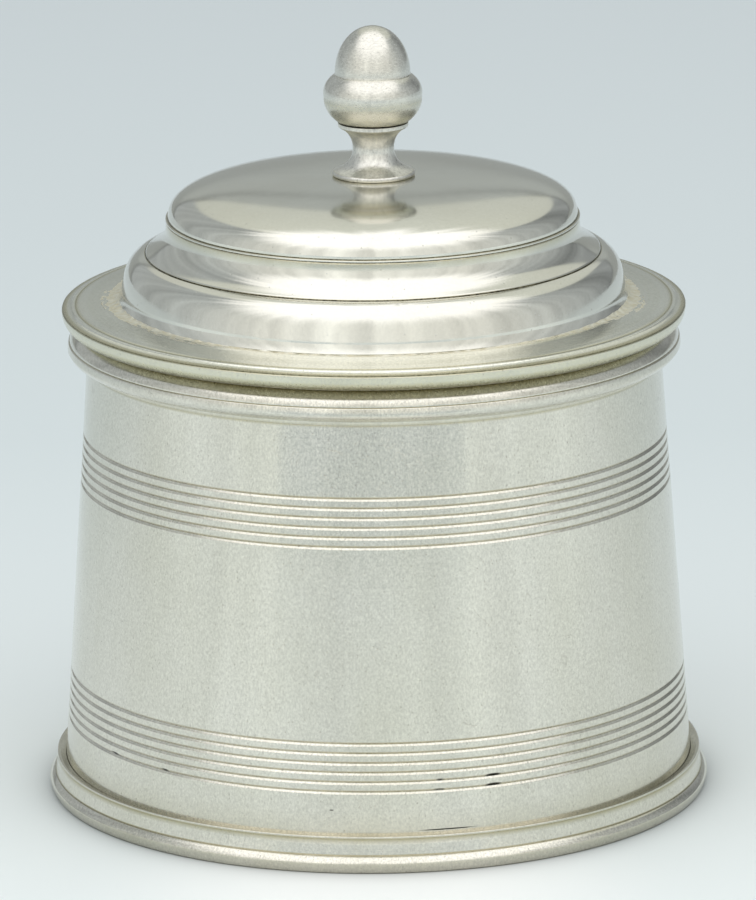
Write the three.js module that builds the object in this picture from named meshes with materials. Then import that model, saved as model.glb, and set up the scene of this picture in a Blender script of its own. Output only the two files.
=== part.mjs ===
// A turned pewter humidor: a tapered drum on a moulded foot ring, closed by a loose lid.
// The lid is a wide flange with a three-stepped dome and an acorn finial. A stud hangs from the
// finial into the dome and carries a pierced pan with a damp sponge, held up by a thumb nut.
// Millimetres, +Z up. The origin is the centre of the flat ring that the jar stands on.

import * as THREE from 'three';

// Fits and facets
const seat = 0.3;              // space left where two pieces seat on or are soldered to each other
const mouthClearance = 0.5;    // radial play of the lid's locating collar in the jar's mouth
const bigFacets = 48;
const smallFacets = 32;
const screwFacets = 16;
const holeFacets = 8;
const hexSides = 6;

// Jar wall
const wallFootRadius = 67.75;  // outside radius at the lower edge
const wallTopRadius = 60.95;   // outside radius at the upper edge
const wallHeight = 96.8;
const wallThickness = 1.8;
const groovesPerBand = 6;
const groovePitch = 2.04;
const grooveWidth = 1.0;
const grooveDepth = 0.45;
const lowerBandHeight = 14.6;  // wall's lower edge to the middle of the lowest groove
const upperBandDrop = 20.4;    // wall's upper edge to the middle of the highest groove

// Foot ring and base plate
const footPlate = 1.5;         // flat flange that the wall and the base plate stand on
const footHeight = 7.8;
const footProjection = 3.25;   // widest point of the bead beyond the wall's lower edge
const footBeadHeight = 3.6;
const footBeadWidestZ = 1.45;
const footBeadUndercut = 0.6;  // bead's widest point in to its lower edge
const footBeadSetback = 1.15;  // bead's widest point in to the face above it
const footBeadSwell = 0.35;
const footFaceHollow = 0.12;
const footLipSetback = 1.7;    // bead's widest point in to the upper lip
const footLipWidth = 0.7;
const footLipRound = 0.25;
const footLipInnerSlope = 0.3;
const footChannelDepth = 0.9;  // hollow between the lip and the wall
const footChannelFall = 0.45;  // drop of the hollow's floor towards the wall
const footInset = 5.0;         // flange's reach inside the wall's lower edge
const baseThickness = 1.6;
const baseRise = 2.0;          // base plate's middle above its edge
const baseFlatRim = 4.0;

// Mouth moulding
const rimCap = 2.7;            // metal above the wall's upper edge
const rimSkirt = 4.9;          // how far the moulding reaches down the wall
const rimProjection = 4.4;     // widest point beyond the wall's upper edge
const rimBeadDrop = 5.0;       // lid seat down to the widest point
const rimShoulderDrop = 1.3;   // lid seat down to the moulding's upper corner
const rimShoulderInset = 1.35;
const rimSeatWidth = 3.3;
const rimFillet = 0.8;
const rimCoveSwell = 0.6;      // rise of each curve of the moulding beyond its chord
const rimBeadSwell = 0.35;
const rimTopSwell = 0.15;

// Lid flange
const flangeOverhang = 1.1;    // beyond the mouth moulding's widest point
const flangeThickness = 4.1;   // at the crest of the rounded edge
const flangeArrisHeight = 3.6; // widest point above the underside
const flangeFootInset = 1.6;   // widest point in to the edge's foot
const flangeEdgeSwell = 0.6;
const flangeCrestInset = 2.5;
const flangeRise = 0.8;        // crest up to the top at the dome's foot
const flangeWeb = 2.0;         // thickness inside the locating collar
const collarThickness = 1.6;
const collarDepth = 11.0;      // locating collar below the flange

// Dome, from the bottom tier up
const domeFootRadius = 54.3;
const domeLanding = 2.6;       // width of flange top that the dome stands on
const domeThickness = 1.5;
const bottomTierHeight = 9.7;
const bottomTierTopRadius = 47.8;
const bottomTierSwell = 1.6;   // rise of the convex tier beyond its chord
const middleTierHeight = 7.3;
const middleTierTopRadius = 44.0;
const middleTierHollow = 0.9;  // depth of the concave tier behind its chord
const topTierRadius = 43.6;
const topTierHeight = 9.0;
const shoulderPower = 2.5;     // the top tier is a superellipse: its upright side
const crownPower = 3.3;        // and its nearly flat crown
const crownFlatRadius = 9.6;   // flat that the finial stands on
const creaseWidth = 0.7;       // line cut between two tiers
const creaseDepth = 0.35;
const solderWidth = 1.1;
const solderHeight = 0.8;

// Finial
const pedestalFootRadius = 8.8;
const pedestalLip = 0.8;
const pedestalLipStep = 0.6;
const pedestalLipRise = 0.32;  // height of the round above the lip
const pedestalBaseHollow = 0.6;
const pedestalNeckHollow = 0.5;
const pedestalHeadBevel = 0.3;
const pedestalHeadEdge = 0.6;
const pedestalWaistRadius = 4.3;
const pedestalWaistHeight = 5.7;
const pedestalHeadRadius = 7.5;
const pedestalHeight = 11.2;
const cupHeight = 10.0;
const cupRadius = 10.4;
const cupWidestHeight = 5.2;
const cupSwell = 0.85;
const acornRadius = 8.0;
const acornStep = 0.5;         // line between the cup and the nut: its depth
const acornLine = 0.2;         // and half its width
const acornHeight = 10.4;

// Stud, nuts and washers
const studRadius = 2.0;
const studBlindDepth = 9.0;    // stud's reach into the acorn
const studTail = 1.5;          // stud's end below the thumb nut
const washerRadius = 6.0;
const washerThickness = 1.0;
const lockNutFlats = 7.0;
const lockNutHeight = 3.2;
const spacerRadius = 3.6;
const spacerHeight = 6.0;

// Humidifier
const panRadius = 37.0;
const panHeight = 12.0;
const panThickness = 1.0;
const grilleThickness = 1.0;
const grilleHoleRadius = 2.0;
const grilleHoleMargin = 2.7;  // plate's edge in to the outermost holes
const grilleRingPitch = 9.6;
const grilleHolesPerPitch = 6; // holes that each further ring adds
const spongeSqueeze = 0.6;     // rounding of the sponge's edge
const thumbNutRadius = 7.0;
const thumbNutHeight = 5.0;
const knurls = 24;
const knurlDepth = 0.5;

// Heights that follow from the sizes above
const wallFootZ = footPlate + seat;
const wallTopZ = wallFootZ + wallHeight;
const seatZ = wallTopZ + seat + rimCap;
const flangeZ = seatZ + seat;
const flangeCrestZ = flangeZ + flangeThickness;
const domeFootZ = flangeCrestZ + flangeRise + seat;
const middleTierZ = domeFootZ + bottomTierHeight;
const topTierZ = middleTierZ + middleTierHeight;
const crownZ = topTierZ + topTierHeight;
const pedestalZ = crownZ + seat;
const cupZ = pedestalZ + pedestalHeight + seat;
const acornZ = cupZ + cupHeight;
const washerZ = crownZ - domeThickness - seat - washerThickness;
const lockNutZ = washerZ - seat - lockNutHeight;
const spacerZ = lockNutZ - seat - spacerHeight;
const panTopZ = spacerZ - seat;
const panRimZ = panTopZ - panHeight;
const grilleZ = panRimZ - seat - grilleThickness;
const nutWasherZ = grilleZ - seat - washerThickness;
const thumbNutZ = nutWasherZ - seat - thumbNutHeight;

// Radii that follow from the sizes above
const rimRadius = wallTopRadius + rimProjection;
const mouthRadius = wallTopRadius - wallThickness;
const collarRadius = mouthRadius - mouthClearance;
const flangeRadius = rimRadius + flangeOverhang;
const flangeCrestRadius = flangeRadius - flangeCrestInset;
const flangeBoreRadius = domeFootRadius - domeLanding;
const boreRadius = studRadius + seat;

// Outside radius of the wall at a height above the floor
function wallRadiusAt(z) {
  const share = (z - wallFootZ) / wallHeight;
  return wallFootRadius + (wallTopRadius - wallFootRadius) * share;
}

// Points from a up to but not including b on a shallow curve that swells to the right of the way
function bow([r0, z0], [r1, z1], swell, steps = 4) {
  const length = Math.hypot(r1 - r0, z1 - z0);
  const outR = (z1 - z0) / length;
  const outZ = -(r1 - r0) / length;
  const points = [];
  for (let i = 0; i < steps; i += 1) {
    const t = i / steps;
    const out = 4 * swell * t * (1 - t);
    points.push([r0 + (r1 - r0) * t + outR * out, z0 + (z1 - z0) * t + outZ * out]);
  }
  return points;
}

// Points from a up to but not including b on a quarter of an ellipse that leaves a upright
function quarter([r0, z0], [r1, z1], steps = 5) {
  const points = [];
  for (let i = 0; i < steps; i += 1) {
    const angle = (i / steps) * (Math.PI / 2);
    points.push([r1 + (r0 - r1) * Math.cos(angle), z0 + (z1 - z0) * Math.sin(angle)]);
  }
  return points;
}

// Outline moved inward by the sheet's thickness, square to its own run
function inside(outline, thickness) {
  return outline.map((point, i) => {
    const [r0, z0] = outline[Math.max(i - 1, 0)];
    const [r1, z1] = outline[Math.min(i + 1, outline.length - 1)];
    const length = Math.hypot(r1 - r0, z1 - z0);
    return [point[0] - ((z1 - z0) / length) * thickness, point[1] + ((r1 - r0) / length) * thickness];
  });
}

// A body of revolution about Z, from outline points [radius, height] that run anticlockwise
function turned(outline, facets) {
  const points = outline.map(([r, z]) => new THREE.Vector2(r, z));
  if (outline[0][0] > 0) points.push(points[0].clone());
  const geometry = new THREE.LatheGeometry(points, facets);
  geometry.rotateX(Math.PI / 2);
  return geometry;
}

function ring(innerRadius, outerRadius, z, height, facets) {
  return turned([
    [innerRadius, z],
    [outerRadius, z],
    [outerRadius, z + height],
    [innerRadius, z + height],
  ], facets);
}

// A flat piece from a closed shape, standing on height z
function plate(shape, z, height) {
  const geometry = new THREE.ExtrudeGeometry(shape, { depth: height, bevelEnabled: false });
  geometry.translate(0, 0, z);
  return geometry;
}

// A closed path through points at the given radii, evenly spaced by angle
function polarPath(PathClass, count, radiusAt, centreX = 0, centreY = 0) {
  const path = new PathClass();
  for (let i = 0; i < count; i += 1) {
    const angle = (i / count) * Math.PI * 2;
    const x = centreX + radiusAt(i) * Math.cos(angle);
    const y = centreY + radiusAt(i) * Math.sin(angle);
    if (i === 0) path.moveTo(x, y);
    else path.lineTo(x, y);
  }
  path.closePath();
  return path;
}

function metal(color, roughness) {
  return new THREE.MeshStandardMaterial({ color, roughness, metalness: 1 });
}

const satinPewter = metal(0xb9bab2, 0.38);
const polishedPewter = metal(0xbdbeb6, 0.24);
const insidePewter = metal(0x9d9c92, 0.5);
const solder = metal(0xb3a06a, 0.55);
const brass = metal(0xb99a55, 0.35);
const aluminium = metal(0xb9bbbd, 0.4);
const spongeFoam = new THREE.MeshStandardMaterial({ color: 0x8d8570, roughness: 0.95, metalness: 0 });

const humidor = new THREE.Group();

function add(parent, name, geometry, material) {
  const mesh = new THREE.Mesh(geometry, material);
  mesh.name = name;
  parent.add(mesh);
}

// Tapered wall with two bands of V-shaped lines turned into its outside
function jarWall() {
  const outline = [[wallFootRadius, wallFootZ]];
  const lowest = wallFootZ + lowerBandHeight;
  const highest = wallTopZ - upperBandDrop;
  const bandStarts = [lowest, highest - (groovesPerBand - 1) * groovePitch];
  for (const bandStart of bandStarts) {
    for (let i = 0; i < groovesPerBand; i += 1) {
      const z = bandStart + i * groovePitch;
      outline.push([wallRadiusAt(z - grooveWidth / 2), z - grooveWidth / 2]);
      outline.push([wallRadiusAt(z) - grooveDepth, z]);
      outline.push([wallRadiusAt(z + grooveWidth / 2), z + grooveWidth / 2]);
    }
  }
  outline.push([wallTopRadius, wallTopZ]);
  outline.push([wallTopRadius - wallThickness, wallTopZ]);
  outline.push([wallFootRadius - wallThickness, wallFootZ]);
  return turned(outline, bigFacets);
}

// Moulded ring under and around the wall's lower edge
function jarFootRing() {
  const beadRadius = wallFootRadius + footProjection;
  const beadTop = [beadRadius - footBeadSetback, footBeadHeight];
  const lipRadius = beadRadius - footLipSetback;
  const lipFoot = [lipRadius, footHeight - footLipRound];
  const channelZ = footHeight - footChannelDepth;
  const innerZ = channelZ - footChannelFall;
  return turned([
    [wallFootRadius - footInset, 0],
    [beadRadius - footBeadUndercut, 0],
    ...bow([beadRadius, footBeadWidestZ], beadTop, footBeadSwell, 3),
    ...bow(beadTop, lipFoot, -footFaceHollow, 2),
    lipFoot,
    [lipRadius - footLipRound, footHeight],
    [lipRadius - footLipWidth, footHeight],
    [lipRadius - footLipWidth - footLipInnerSlope, channelZ],
    [wallRadiusAt(innerZ) + seat, innerZ],
    [wallFootRadius + seat, footPlate],
    [wallFootRadius - footInset, footPlate],
  ], bigFacets);
}

// Bottom of the jar, dished up so that only the foot ring touches the table
function jarBasePlate() {
  const edgeRadius = wallFootRadius - wallThickness - seat;
  const dishRadius = wallFootRadius - footInset - baseFlatRim;
  const baseZ = footPlate + seat;
  const steps = 3;
  const under = [];
  for (let i = 0; i <= steps; i += 1) {
    const t = i / steps;
    under.push([dishRadius * t, baseZ + baseRise * (1 - t * t)]);
  }
  const upper = under.map(([r, z]) => [r, z + baseThickness]).reverse();
  return turned([
    ...under,
    [edgeRadius, baseZ],
    [wallRadiusAt(baseZ + baseThickness) - wallThickness - seat, baseZ + baseThickness],
    ...upper,
  ], bigFacets);
}

// Rounded moulding capped over the wall's upper edge; its top is the seat of the lid
function jarRim() {
  const capZ = wallTopZ + seat;
  const skirtZ = wallTopZ - rimSkirt;
  const skirtRadius = wallRadiusAt(skirtZ) + seat;
  const widest = [rimRadius, seatZ - rimBeadDrop];
  const shoulder = [rimRadius - rimShoulderInset, seatZ - rimShoulderDrop];
  const underBead = [skirtRadius + rimFillet, skirtZ + rimFillet];
  return turned([
    [mouthRadius, capZ],
    [wallTopRadius + seat, capZ],
    [skirtRadius, skirtZ],
    [skirtRadius + rimFillet / 2, skirtZ],
    ...bow(underBead, widest, rimCoveSwell, 3),
    ...bow(widest, shoulder, rimBeadSwell, 2),
    ...bow(shoulder, [mouthRadius + rimSeatWidth, seatZ], rimTopSwell, 2),
    [mouthRadius + rimSeatWidth, seatZ],
    [mouthRadius, seatZ],
  ], bigFacets);
}

// Wide ring of the lid, with a rounded edge and a rebate for the locating collar
function lidFlange() {
  const rebateRadius = collarRadius + seat;
  const topZ = flangeCrestZ + flangeRise;
  const webZ = topZ - flangeWeb;
  const foot = [flangeRadius - flangeFootInset, flangeZ];
  const arris = [flangeRadius, flangeZ + flangeArrisHeight];
  return turned([
    [flangeBoreRadius, webZ],
    [rebateRadius, webZ],
    [rebateRadius, flangeZ],
    ...bow(foot, arris, flangeEdgeSwell, 3),
    arris,
    [flangeCrestRadius, flangeCrestZ],
    [domeFootRadius, topZ],
    [flangeBoreRadius, topZ],
  ], bigFacets);
}

// Collar under the flange that centres the lid in the mouth
function lidCollar() {
  const topZ = flangeCrestZ + flangeRise - flangeWeb - seat;
  const bottomZ = flangeZ - collarDepth;
  return ring(collarRadius - collarThickness, collarRadius, bottomZ, topZ - bottomZ, bigFacets);
}

// A convex bottom tier, a concave middle tier and a domed top tier, with a fine line between each
function domeOutline(stepsPerTier, hasCreases) {
  const half = creaseWidth / 2;
  const bottomTop = [bottomTierTopRadius, middleTierZ];
  const middleTop = [middleTierTopRadius, topTierZ - half];
  const outline = bow([domeFootRadius, domeFootZ], bottomTop, bottomTierSwell, stepsPerTier);
  if (hasCreases) outline.push([bottomTop[0] - creaseDepth, bottomTop[1] - creaseDepth]);
  const middleFoot = [bottomTop[0] - half, bottomTop[1] + half];
  outline.push(...bow(middleFoot, middleTop, -middleTierHollow, stepsPerTier));
  if (hasCreases) outline.push(middleTop, [middleTop[0] - creaseDepth, topTierZ]);
  const sweep = Math.acos(crownFlatRadius / topTierRadius);
  for (let i = 0; i < stepsPerTier; i += 1) {
    const share = Math.cos((i / stepsPerTier) * sweep);
    const height = topTierHeight * (1 - share ** crownPower) ** (1 / shoulderPower);
    outline.push([topTierRadius * share, topTierZ + half * (1 - height / topTierHeight) + height]);
  }
  outline.push([crownFlatRadius, crownZ], [boreRadius, crownZ]);
  return outline;
}

function lidDome() {
  const outer = domeOutline(5, true);
  const inner = inside(domeOutline(3, false), domeThickness);
  inner[0] = [domeFootRadius - domeThickness, domeFootZ];
  inner[inner.length - 1] = [boreRadius, crownZ - domeThickness];
  return turned([...outer, ...inner.reverse()], bigFacets);
}

// Bead of solder in the corner between dome and flange
function lidSolderSeam() {
  const slope = flangeRise / (flangeCrestRadius - domeFootRadius);
  const inner = domeFootRadius + seat;
  const flangeTopAt = (r) => flangeCrestZ + flangeRise - slope * (r - domeFootRadius);
  return turned([
    [inner, flangeTopAt(inner) + seat],
    [inner + solderWidth, flangeTopAt(inner + solderWidth) + seat],
    [inner, flangeTopAt(inner) + seat + solderHeight],
  ], bigFacets);
}

function finialPedestal() {
  const lipZ = pedestalZ + pedestalLip;
  const headZ = pedestalZ + pedestalHeight;
  const base = [pedestalFootRadius - pedestalLipStep, lipZ + pedestalLipRise];
  const waist = [pedestalWaistRadius, pedestalZ + pedestalWaistHeight];
  const neck = [pedestalHeadRadius - pedestalHeadBevel, headZ - pedestalHeadEdge];
  return turned([
    [boreRadius, pedestalZ],
    [pedestalFootRadius, pedestalZ],
    [pedestalFootRadius, lipZ],
    ...bow(base, waist, -pedestalBaseHollow, 4),
    ...bow(waist, neck, -pedestalNeckHollow, 4),
    neck,
    [pedestalHeadRadius, headZ],
    [boreRadius, headZ],
  ], smallFacets);
}

// Cup and nut of the acorn in one casting, with a blind hole for the stud
function finialAcorn() {
  const foot = [pedestalHeadRadius, cupZ];
  const widest = [cupRadius, cupZ + cupWidestHeight];
  const line = [acornRadius - acornStep, acornZ - acornLine];
  const holeTopZ = cupZ + studBlindDepth + seat;
  return turned([
    [0, holeTopZ],
    [boreRadius, holeTopZ],
    [boreRadius, cupZ],
    ...bow(foot, widest, cupSwell, 3),
    ...quarter(widest, line, 4),
    line,
    ...quarter([acornRadius, acornZ + acornLine], [0, acornZ + acornHeight], 6),
    [0, acornZ + acornHeight],
  ], smallFacets);
}

function finialStud() {
  const bottomZ = thumbNutZ - studTail;
  const topZ = cupZ + studBlindDepth;
  return turned([
    [0, bottomZ],
    [studRadius, bottomZ],
    [studRadius, topZ],
    [0, topZ],
  ], screwFacets);
}

function finialWasher() {
  return ring(boreRadius, washerRadius, washerZ, washerThickness, screwFacets);
}

function finialLockNut() {
  const corner = lockNutFlats / 2 / Math.cos(Math.PI / hexSides);
  const shape = polarPath(THREE.Shape, hexSides, () => corner);
  shape.holes.push(polarPath(THREE.Path, screwFacets, () => boreRadius));
  return plate(shape, lockNutZ, lockNutHeight);
}

// Sleeve on the stud that sets how deep the pan hangs in the dome
function humidifierSpacer() {
  return ring(boreRadius, spacerRadius, spacerZ, spacerHeight, screwFacets);
}

// Shallow pan, open downwards, that holds the sponge
function humidifierPan() {
  return turned([
    [boreRadius, panTopZ - panThickness],
    [panRadius - panThickness, panTopZ - panThickness],
    [panRadius - panThickness, panRimZ],
    [panRadius, panRimZ],
    [panRadius, panTopZ - panThickness],
    [panRadius - panThickness, panTopZ],
    [boreRadius, panTopZ],
  ], smallFacets);
}

function humidifierSponge() {
  const radius = panRadius - panThickness - seat;
  const topZ = panTopZ - panThickness - seat;
  const bottomZ = panRimZ;
  return turned([
    [boreRadius, bottomZ],
    [radius - spongeSqueeze, bottomZ],
    [radius, bottomZ + spongeSqueeze],
    [radius, topZ - spongeSqueeze],
    [radius - spongeSqueeze, topZ],
    [boreRadius, topZ],
  ], smallFacets);
}

// Pierced plate that keeps the sponge in the pan and lets the damp air out
function humidifierGrille() {
  const shape = polarPath(THREE.Shape, smallFacets, () => panRadius);
  shape.holes.push(polarPath(THREE.Path, screwFacets, () => boreRadius));
  const innermost = washerRadius + grilleHoleMargin + grilleHoleRadius;
  const outermost = panRadius - grilleHoleMargin - grilleHoleRadius;
  for (let radius = outermost; radius >= innermost; radius -= grilleRingPitch) {
    const holes = grilleHolesPerPitch * Math.round(radius / grilleRingPitch);
    for (let i = 0; i < holes; i += 1) {
      const angle = (i / holes) * Math.PI * 2;
      const x = radius * Math.cos(angle);
      const y = radius * Math.sin(angle);
      shape.holes.push(polarPath(THREE.Path, holeFacets, () => grilleHoleRadius, x, y));
    }
  }
  return plate(shape, grilleZ, grilleThickness);
}

function humidifierWasher() {
  return ring(boreRadius, washerRadius, nutWasherZ, washerThickness, screwFacets);
}

// Knurled nut, undone by hand to take the pan out and wet the sponge
function humidifierThumbNut() {
  const radiusAt = (i) => thumbNutRadius - (i % 2) * knurlDepth;
  const shape = polarPath(THREE.Shape, 2 * knurls, radiusAt);
  shape.holes.push(polarPath(THREE.Path, screwFacets, () => boreRadius));
  return plate(shape, thumbNutZ, thumbNutHeight);
}

const jar = new THREE.Group();
add(jar, 'jar_foot_ring', jarFootRing(), satinPewter);
add(jar, 'jar_base_plate', jarBasePlate(), insidePewter);
add(jar, 'jar_wall', jarWall(), satinPewter);
add(jar, 'jar_rim', jarRim(), satinPewter);
humidor.add(jar);

const lid = new THREE.Group();
add(lid, 'lid_flange', lidFlange(), satinPewter);
add(lid, 'lid_collar', lidCollar(), insidePewter);
add(lid, 'lid_dome', lidDome(), polishedPewter);
add(lid, 'lid_solder_seam', lidSolderSeam(), solder);
add(lid, 'finial_pedestal', finialPedestal(), polishedPewter);
add(lid, 'finial_acorn', finialAcorn(), polishedPewter);
add(lid, 'finial_stud', finialStud(), brass);
add(lid, 'finial_washer', finialWasher(), brass);
add(lid, 'finial_lock_nut', finialLockNut(), brass);
humidor.add(lid);

const humidifier = new THREE.Group();
add(humidifier, 'humidifier_spacer', humidifierSpacer(), brass);
add(humidifier, 'humidifier_pan', humidifierPan(), aluminium);
add(humidifier, 'humidifier_sponge', humidifierSponge(), spongeFoam);
add(humidifier, 'humidifier_grille', humidifierGrille(), aluminium);
add(humidifier, 'humidifier_washer', humidifierWasher(), brass);
add(humidifier, 'humidifier_thumb_nut', humidifierThumbNut(), brass);
humidor.add(humidifier);

export default humidor;
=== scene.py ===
# %% [markdown]
# A pewter humidor, dressed around its CAD frame. The real jar was spun and turned on a lathe, so nearly
# every piece is a section swept once round the axis. The frame gives each piece its place; this script
# draws the finer section, the wear of long use, and the white light tent that pewter needs to look like
# pewter, because a bright metal shows only what stands around it.

# %% Load the frame
import math
from functools import partial

import bpy
import numpy as np
from mathutils import Euler, Matrix, Vector


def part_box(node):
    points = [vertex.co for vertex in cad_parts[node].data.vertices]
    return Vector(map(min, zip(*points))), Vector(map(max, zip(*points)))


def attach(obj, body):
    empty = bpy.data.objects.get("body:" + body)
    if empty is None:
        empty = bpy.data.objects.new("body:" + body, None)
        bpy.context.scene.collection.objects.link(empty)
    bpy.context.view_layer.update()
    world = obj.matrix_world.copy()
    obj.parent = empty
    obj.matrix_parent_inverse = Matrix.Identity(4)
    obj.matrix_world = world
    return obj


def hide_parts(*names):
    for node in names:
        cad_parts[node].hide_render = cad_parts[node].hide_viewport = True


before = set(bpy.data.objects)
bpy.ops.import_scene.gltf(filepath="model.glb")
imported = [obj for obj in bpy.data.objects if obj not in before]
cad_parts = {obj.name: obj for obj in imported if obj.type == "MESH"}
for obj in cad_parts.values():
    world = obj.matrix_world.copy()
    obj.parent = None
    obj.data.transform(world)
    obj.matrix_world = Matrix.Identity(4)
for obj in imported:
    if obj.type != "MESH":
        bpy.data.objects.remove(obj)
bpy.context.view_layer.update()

MM = 0.001

# %% [markdown]
# The photograph was taken with a long lens from a little above the lid. Circles that the lathe left at
# known heights show the angle: the camera looks down 14.3 degrees from 1.6 m away, and it hangs a
# little crooked, so the jar leans by 0.6 degrees. A long lens draws the near and the far side of the
# jar at nearly the same scale.

# %% Camera
CAMERA_PLACE = Vector((0.0, -1.6032, 0.4828))
CAMERA_LOOKS_DOWN = math.radians(14.346)
CAMERA_ROLL = math.radians(-0.618)
CAMERA_TURN = math.radians(0.021)
SENSOR_HEIGHT_MM = 36.0
LENS_MM = 309.08
FARTHEST_SEEN = 50.0

camera = bpy.data.objects.new("camera", bpy.data.cameras.new("camera"))
bpy.context.scene.collection.objects.link(camera)
camera.data.sensor_fit = "VERTICAL"
camera.data.sensor_height = SENSOR_HEIGHT_MM
camera.data.lens = LENS_MM
camera.data.clip_end = FARTHEST_SEEN
facing = Euler((math.pi / 2 - CAMERA_LOOKS_DOWN, 0.0, -CAMERA_TURN)).to_matrix().to_4x4()
camera.matrix_world = Matrix.Translation(CAMERA_PLACE) @ facing @ Matrix.Rotation(CAMERA_ROLL, 4, "Z")
bpy.context.scene.camera = camera
print("camera looks down", round(math.degrees(CAMERA_LOOKS_DOWN), 2), "degrees")

# %% [markdown]
# Every finish below is a tree of shader nodes. Two helpers are enough for all of them: one turns an
# sRGB hex colour into the linear numbers that the renderer works in, and one adds a node, sets it and
# links it. A colour mix has its share at input 0 and its two colours at 6 and 7; a map range takes a
# value, the two ends it comes from and the two ends it goes to.

# %% Colour and node helpers
MODES = {"Math": "operation", "VectorMath": "operation", "Mix": "data_type",
         "MapRange": "interpolation_type", "TexNoise": "noise_dimensions"}


def linear(hex_colour):
    """An sRGB hex colour as linear RGBA."""
    shares = [int(hex_colour[i:i + 2], 16) / 255 for i in (1, 3, 5)]
    curve = [s / 12.92 if s <= 0.04045 else ((s + 0.055) / 1.055) ** 2.4 for s in shares]
    return (*curve, 1.0)


def add_node(tree, kind, inputs=(), **settings):
    """Adds a node to a tree. A mode may follow its kind, as in "Math ADD". Inputs are given in order or
    by name: a number, a colour, an output, or a node, which stands for its first output in use."""
    kind, _, mode = kind.partition(" ")
    node = tree.nodes.new("ShaderNode" + kind)
    if mode:
        setattr(node, MODES[kind], mode)
    for name, value in settings.items():
        setattr(node, name, value)
    for key, value in inputs.items() if isinstance(inputs, dict) else enumerate(inputs):
        if isinstance(value, bpy.types.Node):
            value = next(output for output in value.outputs if output.enabled)
        if isinstance(value, bpy.types.NodeSocket):
            tree.links.new(value, node.inputs[key])
        else:
            node.inputs[key].default_value = value
    return node


print("white is", linear("#FFFFFF"))

# %% [markdown]
# The jar stood in a light tent: white cloth overhead, light grey cloth at the sides, a warmer panel
# sloping down behind, and a sheet of pale blue-grey paper under and behind it. The tent could be built
# from lit planes, but the world shader does the same without noise: it is a function of direction, so
# each cloth is a zone of azimuth and elevation with a soft edge. The camera sees it too, where the
# paper ends.

# %% The directions of the tent, in degrees
DEGREES = 180 / math.pi

world = bpy.data.worlds.new("light_tent")
bpy.context.scene.world = world
world.use_nodes = True
world.node_tree.nodes.clear()
tent = partial(add_node, world.node_tree)

axes = tent("SeparateXYZ", [tent("TexCoord").outputs["Generated"]]).outputs
elevation = tent("Math MULTIPLY", (tent("Math ARCSINE", [axes[2]]), DEGREES))
ahead = tent("Math MULTIPLY", (axes[1], -1.0))
azimuth = tent("Math MULTIPLY", (tent("Math ARCTAN2", (axes[0], ahead)), DEGREES))
from_front = tent("Math ABSOLUTE", [azimuth])
from_back = tent("Math SUBTRACT", (180.0, from_front))
on_right = tent("Math GREATER_THAN", (azimuth, 0.0))
print("the direction takes", len(world.node_tree.nodes), "nodes; 0 degrees is towards the camera")

# %% [markdown]
# The side cloth is brightest in front and gets darker towards the back, a little more on the right. It
# hangs in soft folds, it has a brighter gap where two cloths meet left of the camera, and the corner at
# the back right is dark. All of these are levels that multiply its colour.

# %% Side cloth
SIDE_FRONT = linear("#F5F6F2")
SIDE_BACK = linear("#EDF4F6")
FRONT_LEVEL = 1.12
BACK_LEVEL = 0.52
RIGHT_LEVEL = 0.93
GAP_AZIMUTH = -20.0
GAP_LEVEL = 1.22
CORNER_AZIMUTH = 141.0
CORNER_LEVEL = 0.66
FOLDS_PER_DEGREE = 0.09
FOLD_DARKEST = 0.84
FOLD_BRIGHTEST = 1.14

to_back = tent("MapRange SMOOTHSTEP", (from_front, 20.0, 135.0, FRONT_LEVEL, BACK_LEVEL))
to_right = tent("MapRange SMOOTHSTEP", (azimuth, 20.0, 75.0, 1.0, RIGHT_LEVEL))
off_gap = tent("Math ABSOLUTE", [tent("Math SUBTRACT", (azimuth, GAP_AZIMUTH))])
gap = tent("MapRange SMOOTHSTEP", (off_gap, 1.5, 9.0, GAP_LEVEL, 1.0))
off_corner = tent("Math ABSOLUTE", [tent("Math SUBTRACT", (azimuth, CORNER_AZIMUTH))])
dark_corner = tent("MapRange SMOOTHSTEP", (off_corner, 3.0, 26.0, CORNER_LEVEL, 1.0))
folds = tent("TexNoise 1D", {"W": azimuth, "Scale": FOLDS_PER_DEGREE, "Detail": 3.0, "Roughness": 0.6})
fold_level = tent("MapRange SMOOTHSTEP", (folds, 0.28, 0.72, FOLD_DARKEST, FOLD_BRIGHTEST))
side_level = to_back
for share in (to_right, gap, dark_corner, fold_level):
    side_level = tent("Math MULTIPLY", (side_level, share))
side_share = tent("MapRange SMOOTHSTEP", (from_front, 40.0, 120.0))
side_colour = tent("Mix RGBA", {0: side_share, 6: SIDE_FRONT, 7: SIDE_BACK})
side = tent("VectorMath SCALE", {0: side_colour, "Scale": side_level})
print("side cloth", len(world.node_tree.nodes), "nodes so far")

# %% [markdown]
# The top cloth begins lower in front than behind, and its edge sways with the folds. That edge is the
# bright band across the shoulder of each tier of the lid, crisp at the sides and soft in front.

# %% Edge of the top cloth
TOP_EDGE_FRONT = 36.0
TOP_EDGE_SIDE = 54.0
TOP_EDGE_BACK_RISE = 9.1
TOP_EDGE_SWAY = 5.0
SOFTNESS_FRONT = 18.0
SOFTNESS_BACK = 7.0

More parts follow.
